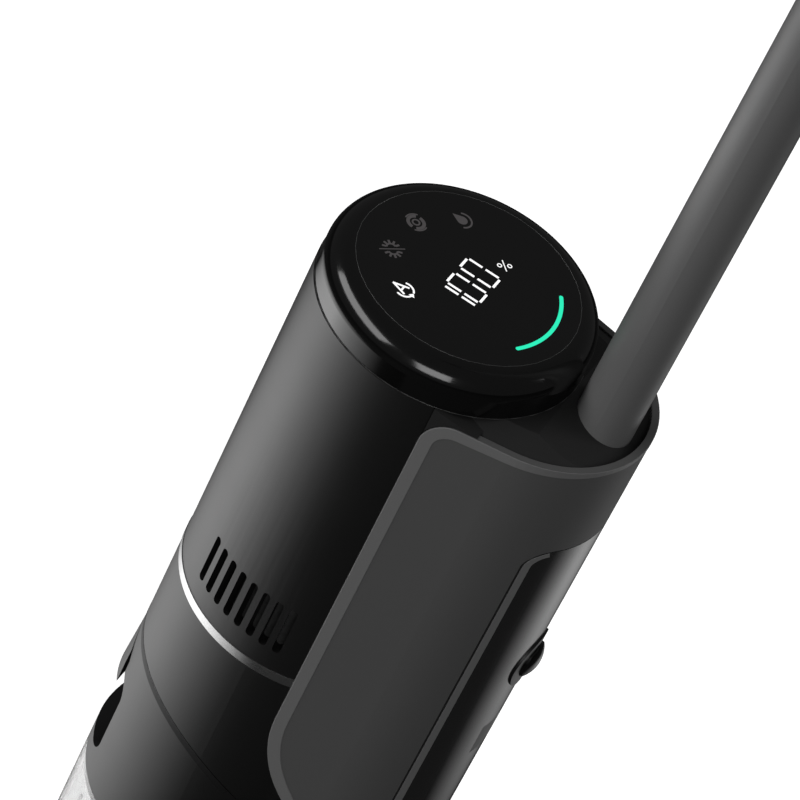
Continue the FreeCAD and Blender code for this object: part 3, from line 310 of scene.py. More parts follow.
open_foam = finish("open_foam", grey(0.008), grey(0.035), (0.9, 1.0), grain=450, bump=1.0)
cell_wrap = finish("cell_wrap", (0.01, 0.11, 0.07), (0.015, 0.14, 0.09), (0.2, 0.3), grain=300, bump=0.02)
circuit_green = finish("circuit_green", (0.004, 0.06, 0.02), (0.02, 0.14, 0.05), (0.3, 0.4), grain=160,
                       bump=0.1)
clear_tank = finish("clear_tank", grey(0.74), grey(0.8), (0.05, 0.1), grain=400, bump=0.02, ior=1.4,
                    transmission_weight=0.93)
smoked_tank = finish("smoked_tank", grey(0.012), grey(0.018), (0.16, 0.24), grain=1500, bump=0.03,
                     coat_weight=0.4)
pile_fabric = finish("pile_fabric", grey(0.11), grey(0.26), (0.85, 0.95), grain=700, bump=0.8, cloud=60)
print("finishes:", len(bpy.data.materials))

# %% Give every solid part its finish
by_finish = {
    piano_black: ("display_cap", "tank_button", "power_button", "mode_button", "clean_button"),
    screen_glass: ("display_glass",),
    satin_black: ("motor_housing", "collar_shell", "tank_lid", "release_flap", "lower_shell", "grip_loop",
                  "head_base", "end_cheek_left", "end_cheek_right", "wheel_left", "wheel_right",
                  "button_ring",
                  "filler_plug"),
    deck_black: ("deck",),
    frame_grey: ("rear_frame", "head_cover", "side_cover_left", "side_cover_right", "roller_cover"),
    tube_grey: ("handle_tube",),
    trim_steel: ("trim_ring",),
    pin_steel: ("tilt_pin", "wheel_axle", "roller_motor"),
    soft_rubber: ("rear_squeegee", "lid_seal", "grip_pad", "neck_hose", "drive_belt", "water_port",
                  "scraper_bar"),
    inner_grey: ("battery_case", "intake_pipe", "suction_motor", "fan_impeller", "suction_duct", "neck_yoke",
                 "roller_core", "roller_pulley", "motor_pulley", "spray_bar", "float_ring"),
    filter_paper: ("filter_cartridge",),
    open_foam: ("exhaust_foam",),
    cell_wrap: tuple(f"battery_cell_{i}" for i in range(1, 5)),
    circuit_green: ("display_board", "control_board"),
    clear_tank: ("dirty_tank",),
    smoked_tank: ("clean_tank",),
    pile_fabric: ("roller_brush",),
}
for material, names in by_finish.items():
    for name in names:
        part = nodes[name]
        part.data.materials.clear()
        part.data.materials.append(material)
print("painted:", sum(len(names) for names in by_finish.values()), "of", len(nodes))

# %% [markdown]
# ## Making a piece
# Small flat graphics and mouldings are built vertex by vertex. One helper turns points and faces into an
# object that sits at the origin, carries its finish and rides on a body.


def new_piece(name, points, faces, material, body, smooth=False):
    mesh = bpy.data.meshes.new(name)
    mesh.from_pydata([tuple(p) for p in points], [], faces)
    shape = bmesh.new()
    shape.from_mesh(mesh)
    bmesh.ops.recalc_face_normals(shape, faces=shape.faces)
    shape.to_mesh(mesh)
    shape.free()
    for polygon in mesh.polygons:
        polygon.use_smooth = smooth
    mesh.materials.append(material)
    piece = bpy.data.objects.new(name, mesh)
    bpy.context.scene.collection.objects.link(piece)
    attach(piece, body)
    return piece


class Artwork:
    """Flat shapes on the display, drawn in millimetres as the user reads them: u to the right, v up."""

    def __init__(self, low, high, centre=(0.0, 0.0)):
        self.low, self.high = low, high
        self.x, self.y = centre
        self.points, self.faces = [], []

    def polygon(self, outline):
        """One closed outline with a little thickness, anticlockwise as it is read."""
        start, count = len(self.points), len(outline)
        for level in (self.low, self.high):
            self.points += [(self.x - u * MM, self.y - v * MM, level) for u, v in outline]
        self.faces.append([start + count + i for i in range(count)])
        self.faces.append([start + i for i in reversed(range(count))])
        for i in range(count):
            j = (i + 1) % count
            self.faces.append([start + i, start + j, start + count + j, start + count + i])

    def stroke(self, path, width):
        """A line of constant width along a path of points."""
        for a, b in zip(path, path[1:]):
            a, b = Vector(a), Vector(b)
            along = (b - a).normalized()
            side = Vector((-along.y, along.x)) * width / 2
            reach = along * width * 0.2
            self.polygon([a - side - reach, b - side + reach, b + side + reach, a + side - reach])

    def arc(self, centre, radius, width, first, last, steps=24, round_ends=False):
        """A ring sector; angles in degrees, anticlockwise from the reader's right."""
        inner, outer = [], []
        for i in range(steps + 1):
            angle = math.radians(first + (last - first) * i / steps)
            ray = Vector((math.cos(angle), math.sin(angle)))
            inner.append(Vector(centre) + ray * (radius - width / 2))
            outer.append(Vector(centre) + ray * (radius + width / 2))
        if round_ends:
            for angle in (first, last):
                middle = Vector(centre) + Vector((math.cos(math.radians(angle)),
                                                  math.sin(math.radians(angle)))) * radius
                self.disc(middle, width / 2)
        for i in range(steps):
            self.polygon([inner[i], outer[i], outer[i + 1], inner[i + 1]])

    def disc(self, centre, radius, steps=20):
        self.polygon([Vector(centre) + Vector((math.cos(t), math.sin(t))) * radius
                      for t in (2 * math.pi * i / steps for i in range(steps))])

    def piece(self, name, material, body="main_body"):
        return new_piece(name, self.points, self.faces, material, body)


print("helpers ready")

# %% [markdown]
# ## The lit display
# Behind the black glass are a battery figure, four mode symbols and a curved status light. On the real screen
# they are masked openings over small lamps. Here they are thin plates on the glass that give off light, with
# the idle symbols left a dull grey. The figure is made from the seven bars that such a digit has.

# %% Lamps
def lamp(name, color, strength):
    """A lamp behind a mask: even light with a faint fall-off from noise."""
    material = finish(name, grey(0.002), grey(0.003), (0.3, 0.4), bump=0)
    tree = material.node_tree
    shader = tree.nodes["Principled BSDF"]
    place = tree.nodes.new("ShaderNodeTexCoord")
    patch = tree.nodes.new("ShaderNodeTexNoise")
    patch.inputs["Scale"].default_value = 180
    blend = tree.nodes.new("ShaderNodeMix")
    blend.data_type = "RGBA"
    blend.inputs["A"].default_value = (*(0.9 * c for c in color), 1)
    blend.inputs["B"].default_value = (*color, 1)
    tree.links.new(place.outputs["Object"], patch.inputs["Vector"])
    tree.links.new(patch.outputs["Fac"], blend.inputs["Factor"])
    tree.links.new(blend.outputs["Result"], shader.inputs["Emission Color"])
    shader.inputs["Emission Strength"].default_value = strength
    return material


white_lamp = lamp("white_lamp", (1.0, 1.0, 1.0), 1.2)
teal_lamp = lamp("teal_lamp", (0.025, 0.92, 0.53), 1.0)
idle_mark = lamp("idle_mark", (0.06, 0.056, 0.057), 1.0)
LIFT = 0.00005
LAYER = (TOP + LIFT, TOP + 3 * LIFT)

# %% The battery figure
BAR = 1.05
DIGIT_WIDTH = 7.5
DIGIT_HEIGHT = 15.5
GAP = 1.0
BASE = -9.8


def digit(art, left, base, segments):
    """Bars of one seven-bar digit, named a to f from the top clockwise."""
    right, middle, top = left + DIGIT_WIDTH, base + DIGIT_HEIGHT / 2, base + DIGIT_HEIGHT
    ends = {
        "a": ((left + GAP, top), (right - GAP, top)), "d": ((left + GAP, base), (right - GAP, base)),
        "f": ((left, middle + GAP), (left, top - GAP)), "e": ((left, base + GAP), (left, middle - GAP)),
        "b": ((right, middle + GAP), (right, top - GAP)), "c": ((right, base + GAP), (right, middle - GAP)),
    }
    for segment in segments:
        art.stroke(ends[segment], BAR)


figure = Artwork(*LAYER)
digit(figure, -12.5 - DIGIT_WIDTH, BASE, "bc")
digit(figure, -10.0, BASE, "abcdef")
digit(figure, 1.9, BASE, "abcdef")
for corner in ((16.3, -5.9), (19.3, -9.2)):
    figure.arc(corner, 0.9, 0.4, 0, 360, steps=14)
figure.stroke([(15.6, -9.6), (19.8, -5.4)], 0.4)
figure.piece("battery_figure", white_lamp)
print("battery figure has", len(figure.faces), "faces")

# %% The four mode symbols and the status light
SYMBOL_RING = 32.7
LIGHT_RING = 38.9


def on_ring(degrees):
    """A point on the symbol ring; degrees count to the reader's left from the top."""
    angle = math.radians(degrees)
    return Vector((-SYMBOL_RING * math.sin(angle), SYMBOL_RING * math.cos(angle)))


def ray(degrees, length=1.0):
    return Vector((math.cos(math.radians(degrees)), math.sin(math.radians(degrees)))) * length


lit = Artwork(*LAYER)
spot = on_ring(58.3)
lit.stroke([spot + Vector((-2.1, -2.0)), spot + Vector((0.2, 4.2)), spot + Vector((2.4, -2.0))], 0.8)
lit.stroke([spot + Vector((-1.4, -0.2)), spot + Vector((1.7, -0.2))], 0.75)
lit.arc(spot + Vector((0.2, -1.0)), 3.9, 0.75, 160, 255)
lit.arc(spot + Vector((0.2, -1.0)), 3.9, 0.75, 285, 380)
tip = spot + Vector((-0.9, -4.9))
lit.polygon([tip + Vector((0, -1.3)), tip + Vector((1.8, 0)), tip + Vector((0, 1.3))])
lit.piece("auto_symbol", white_lamp)

idle = Artwork(*LAYER)
spot = on_ring(19.8)
idle.stroke([spot + ray(137, 5.6), spot + ray(-43, 5.6)], 0.45)
for middle in (47, 227):
    half = spot + ray(middle, 0.9)
    idle.arc(half, 2.0, 0.8, middle - 78, middle + 78)
    for turn_by in (-72, -36, 0, 36, 72):
        idle.stroke([half + ray(middle + turn_by, 2.4), half + ray(middle + turn_by, 3.8)], 0.95)
spot = on_ring(-19.0)
for start in (30, 210):
    idle.arc(spot, 3.4, 1.5, start, start + 150)
    idle.arc(spot, 4.6, 0.6, start - 10, start + 70)
idle.arc(spot, 1.5, 0.7, 0, 360)
spot = on_ring(-58.4)
idle.polygon([spot + Vector((-0.2, 5.2))] + [spot + Vector((-0.6, 0.4)) + ray(t, 2.3)
                                              for t in range(160, 381, 20)])
idle.arc(spot + Vector((-0.6, 0.4)), 4.1, 0.75, 215, 395)
idle.piece("idle_symbols", idle_mark)

status = Artwork(*LAYER)
status.arc((0, 0), LIGHT_RING, 1.7, 270 - 31.6, 270 + 31.6, steps=40, round_ends=True)
status.piece("status_light", teal_lamp)
print("status light spans 63 degrees")

# %% [markdown]
# ## Lips and bands
# The frame's panels end in a slightly raised lip, broad down the front edge and narrow along the rim, which
# on the real part is moulded with it. The lip is a little glossier than the panel, and its lighter grey is a
# painted highlight where the edge catches light. The water tank has the same kind of lip beside its window,
# with the same painted highlight, and a darker painted shadow band lies under the tank lid's swept seam. All
# are ribbons laid on a surface: an outline in two flat coordinates, a width at each point, and a function
# that lifts it onto the shape.

# %% Ribbons on a surface
def bend(a, b, radius, steps=10):
    """Points on the arc of less than half a turn from a to b that bulges to the right of the way there."""
    a, b = Vector(a), Vector(b)
    chord = b - a
    middle = (a + b) / 2
    right_hand = Vector((chord.y, -chord.x)).normalized()
    centre = middle - right_hand * math.sqrt(max(radius ** 2 - (chord.length / 2) ** 2, 0))
    start = math.atan2(a.y - centre.y, a.x - centre.x)
    sweep = (math.atan2(b.y - centre.y, b.x - centre.x) - start + math.pi) % (2 * math.pi) - math.pi
    return [centre + Vector((math.cos(start + sweep * i / steps),
                             math.sin(start + sweep * i / steps))) * radius
            for i in range(steps + 1)]


def resample(path, gap):
    """The same path with points no farther apart than gap."""
    points = [Vector(path[0])]
    for a, b in zip(path, path[1:]):
        a, b = Vector(a), Vector(b)
        count = max(1, math.ceil((b - a).length / gap))
        points += [a.lerp(b, i / count) for i in range(1, count + 1)]
    return points


def ribbon(name, path, width, surface, material, body, lift=0.25):
    """A raised band to the left of an open path; width(i, point) and surface(u, v, height) are in mm."""
    points, faces = [], []
    profile = ((0.0, -0.15), (0.06, lift), (0.94, lift), (1.0, -0.15))
    for i, point in enumerate(path):
        before, after = path[max(i - 1, 0)], path[min(i + 1, len(path) - 1)]
        along = (after - before).normalized()
        inward = Vector((-along.y, along.x)) * width(i, point)
        for share, height in profile:
            spot = point + inward * share
            points.append(Vector(surface(spot.x, spot.y, height)) * MM)
    for i in range(len(path) - 1):
        for j in range(4):
            k = (j + 1) % 4
            faces.append([4 * i + j, 4 * i + k, 4 * i + 4 + k, 4 * i + 4 + j])
    faces += [[0, 1, 2, 3], [len(points) - 4 + j for j in range(4)]]
    return new_piece(name, points, faces, material, body)


# %% Frame lip with its painted highlight
FRAME_FRONT = 58.5
FRAME_REAR = REAR_RADIUS / MM
SPACING = REAR_CENTRE / MM
LEAN = (FRAME_FRONT - FRAME_REAR) / SPACING
SPREAD = math.sqrt(1 - LEAN ** 2)
REAR_ARC = FRAME_REAR * (math.pi / 2 - math.asin(LEAN))


def frame_surface(run, height, lift):
    """run counts along the frame's plan from the middle of the back, positive towards +X."""
    side = 1 if run >= 0 else -1
    run = abs(run)
    if run <= REAR_ARC:
        angle = math.pi / 2 - run / FRAME_REAR
        x = (FRAME_REAR + lift) * math.cos(angle)
        y = SPACING + (FRAME_REAR + lift) * math.sin(angle)
    else:
        passed = run - REAR_ARC
        x = (FRAME_REAR + lift) * SPREAD + passed * LEAN
        y = SPACING + (FRAME_REAR + lift) * LEAN - passed * SPREAD
    return side * x, y, height


def run_at(y):
    """How far round the plan the straight flank reaches this y."""
    return REAR_ARC + (SPACING + FRAME_REAR * LEAN - y) / SPREAD


EDGE = 20.0
RIM = frame_high[2] / MM
FOOT_Y = EDGE + 18
TURN = 440.0
flank = [(FOOT_Y, frame_low[2] / MM + 0.5), (FOOT_Y, 397.0)]
flank += [tuple(p) for p in reversed(bend((EDGE, TURN), (FOOT_Y, 397.0), 60))][1:]
flank += [tuple(p) for p in reversed(bend((EDGE + 13, RIM), (EDGE, RIM - 13), 13))]
flank += [(54.0, RIM)]
half = [Vector((run_at(y), z)) for y, z in flank] + [Vector((0.0, RIM))]
outline = resample(half + [Vector((-p.x, p.y)) for p in reversed(half[:-1])], 4.0)


def lip_width(_, point):
    """Broad down the front edge, narrowing from the top corner to the back."""
    if point.y < RIM - 14:
        return 6.0
    along = max(0.0, min(1.0, (run_at(EDGE + 8) - abs(point.x)) / 70.0))
    return 6.0 - 3.4 * along


# The lip along the frame's front edge and rim; its lighter grey is a painted highlight.
ribbon("frame_lip", outline, lip_width, frame_surface, frame_lip, "main_body", lift=0.22)
print("frame lip points:", len(outline))

# %% Tank window lip and painted seam shadow
WINDOW_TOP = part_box("clean_tank")[1][2] / MM
WINDOW_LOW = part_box("clean_tank")[0][2] / MM
WINDOW_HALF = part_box("clean_tank")[1][0] / MM


def rear_face(u, height, lift):
    """The rear tank's round face, with u to +X."""
    reach = FRAME_REAR + lift
    share = u / FRAME_REAR
    return reach * share, SPACING + reach * math.sqrt(max(1 - share ** 2, 0)), height


# The window lips take the same lighter finish, a painted highlight beside the tank's window.
for side in (1, -1):
    top = [(side * (WINDOW_HALF - 0.2), WINDOW_LOW + 1), (side * (WINDOW_HALF - 0.2), WINDOW_TOP - 8.6)]
    top += [(side * (WINDOW_HALF - 8.6 + 8.4 * math.cos(t)), WINDOW_TOP - 8.6 + 8.4 * math.sin(t))
            for t in (math.pi / 2 * i / 8 for i in range(1, 8))]
    path = resample([Vector(p) for p in (top if side > 0 else reversed(top))], 4.0)
    ribbon(f"window_lip_{'left' if side > 0 else 'right'}", path, lambda i, p: 2.6, rear_face, frame_lip,
           "water_tank", lift=0.15)

SEAM_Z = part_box("tank_lid")[1][2] / MM
SWEEP = 139.6


def seam_height(y):
    return SEAM_Z - SWEEP + math.sqrt(max(SWEEP ** 2 - (y + 60) ** 2, 0))


def lid_face(run, height, lift):
    angle = run / FRAME_FRONT
    return (FRAME_FRONT + lift) * math.sin(angle), -(FRAME_FRONT + lift) * math.cos(angle), height


seam = []
for step in range(-56, 57):
    run = FRAME_FRONT * math.radians(step * 1.9)
    seam.append(Vector((run, seam_height(-FRAME_FRONT * math.cos(run / FRAME_FRONT)) - 0.2)))
# A darker, duller band just under the lid seam: painted shadow cast by the seam's step.
seam_band = finish("seam_band", grey(0.004), grey(0.005), (0.5, 0.56), grain=2500, bump=0.05,
                   specular_ior_level=0.28)
ribbon("seam_band", seam[::-1], lambda i, p: 3.2, lid_face, seam_band, "waste_tank", lift=0.06)
print("seam points:", len(seam))

# %% [markdown]
# ## Repeated details
# Bristles, treads, blades, pleats, ribs and screws are all one small shape many times over, which is what
# Geometry Nodes is for. Each tree below has named inputs, so one tree serves several pieces. A tree is run
# once, its result is kept as a plain mesh, and the modifier goes.

# %% Running a tree once
def new_tree(name, **sockets):
    """A Geometry Nodes tree with a geometry output; each socket is (kind, default)."""
    tree = bpy.data.node_groups.new(name, "GeometryNodeTree")
    tree.interface.new_socket(name="Geometry", in_out="OUTPUT", socket_type="NodeSocketGeometry")
    for label, (kind, value) in sockets.items():
        socket = tree.interface.new_socket(name=label.replace("_", " "), in_out="INPUT",
                                           socket_type=f"NodeSocket{kind}")
        if value is not None:
            socket.default_value = value
    return tree


def run_tree(tree, name, body, smooth=False, **values):
    """Evaluates the tree with these inputs and keeps the mesh as a piece that rides on the body."""
    holder = bpy.data.objects.new(name, bpy.data.meshes.new(name))
    bpy.context.scene.collection.objects.link(holder)
    modifier = holder.modifiers.new("recipe", "NODES")
    modifier.node_group = tree
    for item in tree.interface.items_tree:
        key = item.name.replace(" ", "_")
        if item.in_out == "INPUT" and key in values:
            modifier[item.identifier] = values[key]
    view = bpy.context.evaluated_depsgraph_get()
    made = bpy.data.meshes.new_from_object(holder.evaluated_get(view), depsgraph=view)
    holder.modifiers.clear()
    holder.data = made
    made.materials.clear()
    made.materials.append(values["Material"])
    for polygon in made.polygons:
        polygon.use_smooth = smooth
    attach(holder, body)
    return holder


def math_node(tree, operation, a, b=None):
    """A Math node; a and b are sockets or plain numbers. Returns its result socket."""
    node = tree.nodes.new("ShaderNodeMath")
    node.operation = operation
    for i, value in enumerate((a, b)):
        if value is None:
            continue
        if isinstance(value, (int, float)):
            node.inputs[i].default_value = value
        else:
            tree.links.new(value, node.inputs[i])
    return node.outputs[0]


def vector_node(tree, x, y, z):
    node = tree.nodes.new("ShaderNodeCombineXYZ")
    for i, value in enumerate((x, y, z)):
        if isinstance(value, (int, float)):
            node.inputs[i].default_value = value
        else:
            tree.links.new(value, node.inputs[i])
    return node.outputs[0]


def close_tree(tree, instances, start):
    """Realises the instances, gives them the material, and turns and moves them into place."""
    real = tree.nodes.new("GeometryNodeRealizeInstances")
    move = tree.nodes.new("GeometryNodeTransform")
    paint = tree.nodes.new("GeometryNodeSetMaterial")
    out = tree.nodes.new("NodeGroupOutput")
    tree.links.new(instances, real.inputs["Geometry"])
    tree.links.new(real.outputs["Geometry"], move.inputs["Geometry"])
    tree.links.new(start.outputs["Place"], move.inputs["Translation"])
    tree.links.new(start.outputs["Turn"], move.inputs["Rotation"])
    tree.links.new(move.outputs["Geometry"], paint.inputs["Geometry"])
    tree.links.new(start.outputs["Material"], paint.inputs["Material"])
    tree.links.new(paint.outputs["Geometry"], out.inputs["Geometry"])


def bar_instances(tree, start, points, rotation):
    """Puts a bar of the Size input, with Sides sides, on every point."""
    link = tree.links.new
    bar = tree.nodes.new("GeometryNodeMeshCylinder")
    bar.inputs["Radius"].default_value = 0.5
    bar.inputs["Depth"].default_value = 1.0
    link(start.outputs["Sides"], bar.inputs["Vertices"])
    put = tree.nodes.new("GeometryNodeInstanceOnPoints")
    link(points, put.inputs["Points"])
    link(bar.outputs["Mesh"], put.inputs["Instance"])
    link(rotation, put.inputs["Rotation"])
    link(start.outputs["Size"], put.inputs["Scale"])
    return put.outputs["Instances"]


COMMON = {"Place": ("Vector", (0, 0, 0)), "Turn": ("Vector", (0, 0, 0)), "Material": ("Material", None)}

# %% [markdown]
# ### Rings and rows
# A ring of bars turns about its own Z axis: treads on a tyre, blades on a fan, pleats in a filter. Size is
# (radial, round the ring, along the axis), and Slant leans each bar about its radius. A row of bars repeats
# along X: ribs, nozzles and the ridges of a grip.

# %% Ring and row trees
def ring_tree():
    tree = new_tree("ring_of_bars", Count=("Int", 24), Radius=("Float", 0.03), Start=("Float", 0.0),
                    Sweep=("Float", 2 * math.pi), Size=("Vector", (0.002, 0.002, 0.01)), Sides=("Int", 6),
                    Slant=("Float", 0.0), **COMMON)
    start = tree.nodes.new("NodeGroupInput")
    index = tree.nodes.new("GeometryNodeInputIndex").outputs[0]
    share = math_node(tree, "DIVIDE", index, start.outputs["Count"])
    angle = math_node(tree, "ADD", math_node(tree, "MULTIPLY", share, start.outputs["Sweep"]),
                      start.outputs["Start"])
    x = math_node(tree, "MULTIPLY", math_node(tree, "COSINE", angle), start.outputs["Radius"])
    y = math_node(tree, "MULTIPLY", math_node(tree, "SINE", angle), start.outputs["Radius"])
    points = tree.nodes.new("GeometryNodePoints")
    tree.links.new(start.outputs["Count"], points.inputs["Count"])
    tree.links.new(vector_node(tree, x, y, 0.0), points.inputs["Position"])
    rotation = vector_node(tree, start.outputs["Slant"], 0.0, angle)
    close_tree(tree, bar_instances(tree, start, points.outputs[0], rotation), start)
    return tree


def row_tree():
    tree = new_tree("row_of_bars", Count=("Int", 10), Pitch=("Float", 0.005), Size=("Vector", (0.002, 0.002,
                                                                                               0.01)),
                    Sides=("Int", 8), Bar_Turn=("Vector", (0, 0, 0)), **COMMON)
    start = tree.nodes.new("NodeGroupInput")
    index = tree.nodes.new("GeometryNodeInputIndex").outputs[0]
    middle = math_node(tree, "MULTIPLY", math_node(tree, "SUBTRACT", start.outputs["Count"], 1.0), 0.5)
    x = math_node(tree, "MULTIPLY", math_node(tree, "SUBTRACT", index, middle), start.outputs["Pitch"])
    points = tree.nodes.new("GeometryNodePoints")
    tree.links.new(start.outputs["Count"], points.inputs["Count"])
    tree.links.new(vector_node(tree, x, 0.0, 0.0), points.inputs["Position"])
    close_tree(tree, bar_instances(tree, start, points.outputs[0], start.outputs["Bar Turn"]), start)
    return tree


ring_of_bars = ring_tree()
row_of_bars = row_tree()
print("trees:", ring_of_bars.name, row_of_bars.name)

# %% [markdown]
# ### Hoops, pile and screws
# Hoops are thin rings along Z, as on a corrugated hose. The pile is a great many fine cones that stand out of
# a round sleeve along X, each leaning its own way from a fixed seed. Screws are flat heads with a raised
# cross, set along a straight line.

# %% Hoop, pile and screw trees
def hoop_tree():
    tree = new_tree("row_of_hoops", Count=("Int", 8), Pitch=("Float", 0.004), Radius=("Float", 0.013),
                    Thickness=("Float", 0.001), **COMMON)
    start = tree.nodes.new("NodeGroupInput")
    link = tree.links.new
    path, section = (tree.nodes.new("GeometryNodeCurvePrimitiveCircle") for _ in range(2))
    path.inputs["Resolution"].default_value = 40
    section.inputs["Resolution"].default_value = 8
    link(start.outputs["Radius"], path.inputs["Radius"])
    link(start.outputs["Thickness"], section.inputs["Radius"])
    sweep = tree.nodes.new("GeometryNodeCurveToMesh")
    link(path.outputs["Curve"], sweep.inputs["Curve"])
    link(section.outputs["Curve"], sweep.inputs["Profile Curve"])
    index = tree.nodes.new("GeometryNodeInputIndex").outputs[0]
    points = tree.nodes.new("GeometryNodePoints")
    link(start.outputs["Count"], points.inputs["Count"])
    link(vector_node(tree, 0.0, 0.0, math_node(tree, "MULTIPLY", index, start.outputs["Pitch"])),
         points.inputs["Position"])
    put = tree.nodes.new("GeometryNodeInstanceOnPoints")
    link(points.outputs[0], put.inputs["Points"])
    link(sweep.outputs["Mesh"], put.inputs["Instance"])
    close_tree(tree, put.outputs["Instances"], start)
    return tree


def spread(tree, low, high, seed):
    """A random number for each point between two values."""
    node = tree.nodes.new("FunctionNodeRandomValue")
    node.data_type = "FLOAT"
    floats = [s for s in node.inputs if s.type == "VALUE"]
    for socket, value in zip(floats[:2], (low, high)):
        if isinstance(value, (int, float)):
            socket.default_value = value
        else:
            tree.links.new(value, socket)
    seed_socket = node.inputs["Seed"]
    tree.links.new(math_node(tree, "ADD", seed[0], seed[1]), seed_socket)
    return [s for s in node.outputs if s.type == "VALUE"][0]


def pile_tree():
    tree = new_tree("pile", Count=("Int", 5000), Radius=("Float", 0.03), Half_Length=("Float", 0.125),
                    Bristle=("Float", 0.004), Thickness=("Float", 0.0007), Lean=("Float", 0.35),
                    Seed=("Int", 7),
                    **COMMON)
    start = tree.nodes.new("NodeGroupInput")
    link = tree.links.new
    seed = start.outputs["Seed"]
    angle = spread(tree, 0.0, 2 * math.pi, (seed, 1.0))
    along = spread(tree, math_node(tree, "MULTIPLY", start.outputs["Half Length"], -1.0),
                   start.outputs["Half Length"], (seed, 2.0))
    cosine, sine = math_node(tree, "COSINE", angle), math_node(tree, "SINE", angle)
    position = vector_node(tree, along, math_node(tree, "MULTIPLY", cosine, start.outputs["Radius"]),
                           math_node(tree, "MULTIPLY", sine, start.outputs["Radius"]))
    points = tree.nodes.new("GeometryNodePoints")
    link(start.outputs["Count"], points.inputs["Count"])
    link(position, points.inputs["Position"])
    lean = start.outputs["Lean"]
    minus = math_node(tree, "MULTIPLY", lean, -1.0)
    facing = vector_node(tree, spread(tree, minus, lean, (seed, 3.0)),
                         math_node(tree, "ADD", cosine, spread(tree, minus, lean, (seed, 4.0))),
                         math_node(tree, "ADD", sine, spread(tree, minus, lean, (seed, 5.0))))
    align = tree.nodes.new("FunctionNodeAlignRotationToVector")
    align.axis = "Z"
    link(facing, align.inputs["Vector"])
    bristle = tree.nodes.new("GeometryNodeMeshCone")
    bristle.inputs["Vertices"].default_value = 4
    link(start.outputs["Thickness"], bristle.inputs["Radius Bottom"])
    link(start.outputs["Bristle"], bristle.inputs["Depth"])
    put = tree.nodes.new("GeometryNodeInstanceOnPoints")
    link(points.outputs[0], put.inputs["Points"])
    link(bristle.outputs["Mesh"], put.inputs["Instance"])
    link(align.outputs["Rotation"], put.inputs["Rotation"])
    close_tree(tree, put.outputs["Instances"], start)
    return tree


def screw_tree():
    tree = new_tree("screws", First=("Vector", (0, 0, 0)), Last=("Vector", (0, 0, 0)), Count=("Int", 2),
                    Radius=("Float", 0.0024), Head_Turn=("Vector", (0, 0, 0)), **COMMON)
    start = tree.nodes.new("NodeGroupInput")
    link = tree.links.new
    line = tree.nodes.new("GeometryNodeMeshLine")
    line.mode = "END_POINTS"
    link(start.outputs["First"], line.inputs["Start Location"])
    link(start.outputs["Last"], line.inputs["Offset"])
    link(start.outputs["Count"], line.inputs["Count"])
    head = tree.nodes.new("GeometryNodeMeshCone")
    head.inputs["Vertices"].default_value = 16
    head.inputs["Depth"].default_value = 0.0007
    link(start.outputs["Radius"], head.inputs["Radius Bottom"])
    link(math_node(tree, "MULTIPLY", start.outputs["Radius"], 0.8), head.inputs["Radius Top"])
    join = tree.nodes.new("GeometryNodeJoinGeometry")
    link(head.outputs["Mesh"], join.inputs["Geometry"])
    for quarter in (0.0, math.pi / 2):
        blade = tree.nodes.new("GeometryNodeMeshCylinder")
        blade.inputs["Vertices"].default_value = 6
        blade.inputs["Radius"].default_value = 0.0003
        link(math_node(tree, "MULTIPLY", start.outputs["Radius"], 1.1), blade.inputs["Depth"])
        lay = tree.nodes.new("GeometryNodeTransform")
        lay.inputs["Translation"].default_value = (0, 0, 0.0007)
        lay.inputs["Rotation"].default_value = (math.pi / 2, 0, quarter)
        link(blade.outputs["Mesh"], lay.inputs["Geometry"])
        link(lay.outputs["Geometry"], join.inputs["Geometry"])
    put = tree.nodes.new("GeometryNodeInstanceOnPoints")
    link(line.outputs["Mesh"], put.inputs["Points"])
    link(join.outputs["Geometry"], put.inputs["Instance"])
    link(start.outputs["Head Turn"], put.inputs["Rotation"])
    close_tree(tree, put.outputs["Instances"], start)
    return tree


row_of_hoops = hoop_tree()
pile = pile_tree()
screws = screw_tree()
print("trees:", row_of_hoops.name, pile.name, screws.name)

# %% [markdown]
# ### The floor head
# The roller is wrapped in a soft pile that soaks up water, so its fabric is thousands of short fibres. The
# tyres have cross treads for grip on wet floors, each side cover is held by three screws, and small nozzles
# along the spray bar wet the roller.

# %% Roller pile, treads, screws and nozzles
QUARTER = math.pi / 2


def middle_of(name):
    low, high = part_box(name)
    return tuple((a + b) / 2 for a, b in zip(low, high))


def radius_of(name):
    low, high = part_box(name)
    return (high[2] - low[2]) / 2


run_tree(pile, "roller_pile", "roller", Count=9000, Radius=radius_of("roller_brush") - 0.0012,
         Half_Length=brush_high[0] - 0.001, Bristle=0.0026, Thickness=0.0009, Lean=0.3, Seed=11,
         Place=middle_of("roller_brush"), Material=pile_fabric)
for side, sign in (("left", 1), ("right", -1)):
    wheel = f"wheel_{side}"
    run_tree(ring_of_bars, f"tread_{side}", f"{side}_wheel", Count=30, Radius=radius_of(wheel) - 0.0003,
             Size=(0.0016, 0.0030, 0.017), Sides=6, Place=middle_of(wheel), Turn=(0, QUARTER, 0),
             Material=soft_rubber)
    outer = max((abs(x), x) for x in (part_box(wheel)[0][0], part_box(wheel)[1][0]))[1]
    _, wheel_y, wheel_z = middle_of(wheel)
    run_tree(ring_of_bars, f"spokes_{side}", f"{side}_wheel", Count=6, Radius=0.0145,
             Size=(0.014, 0.003, 0.0014), Sides=8, Place=(outer, wheel_y, wheel_z), Turn=(0, QUARTER, 0),
             Material=inner_grey)
    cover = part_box(f"side_cover_{side}")
    face = cover[1][0] if sign > 0 else cover[0][0]
    run_tree(screws, f"screws_{side}", "floor_head", First=(face, -0.098, 0.030),
             Last=(face, 0.012, 0.030), Count=3, Head_Turn=(0, sign * QUARTER, 0), Material=pin_steel)
spray_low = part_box("spray_bar")[0]
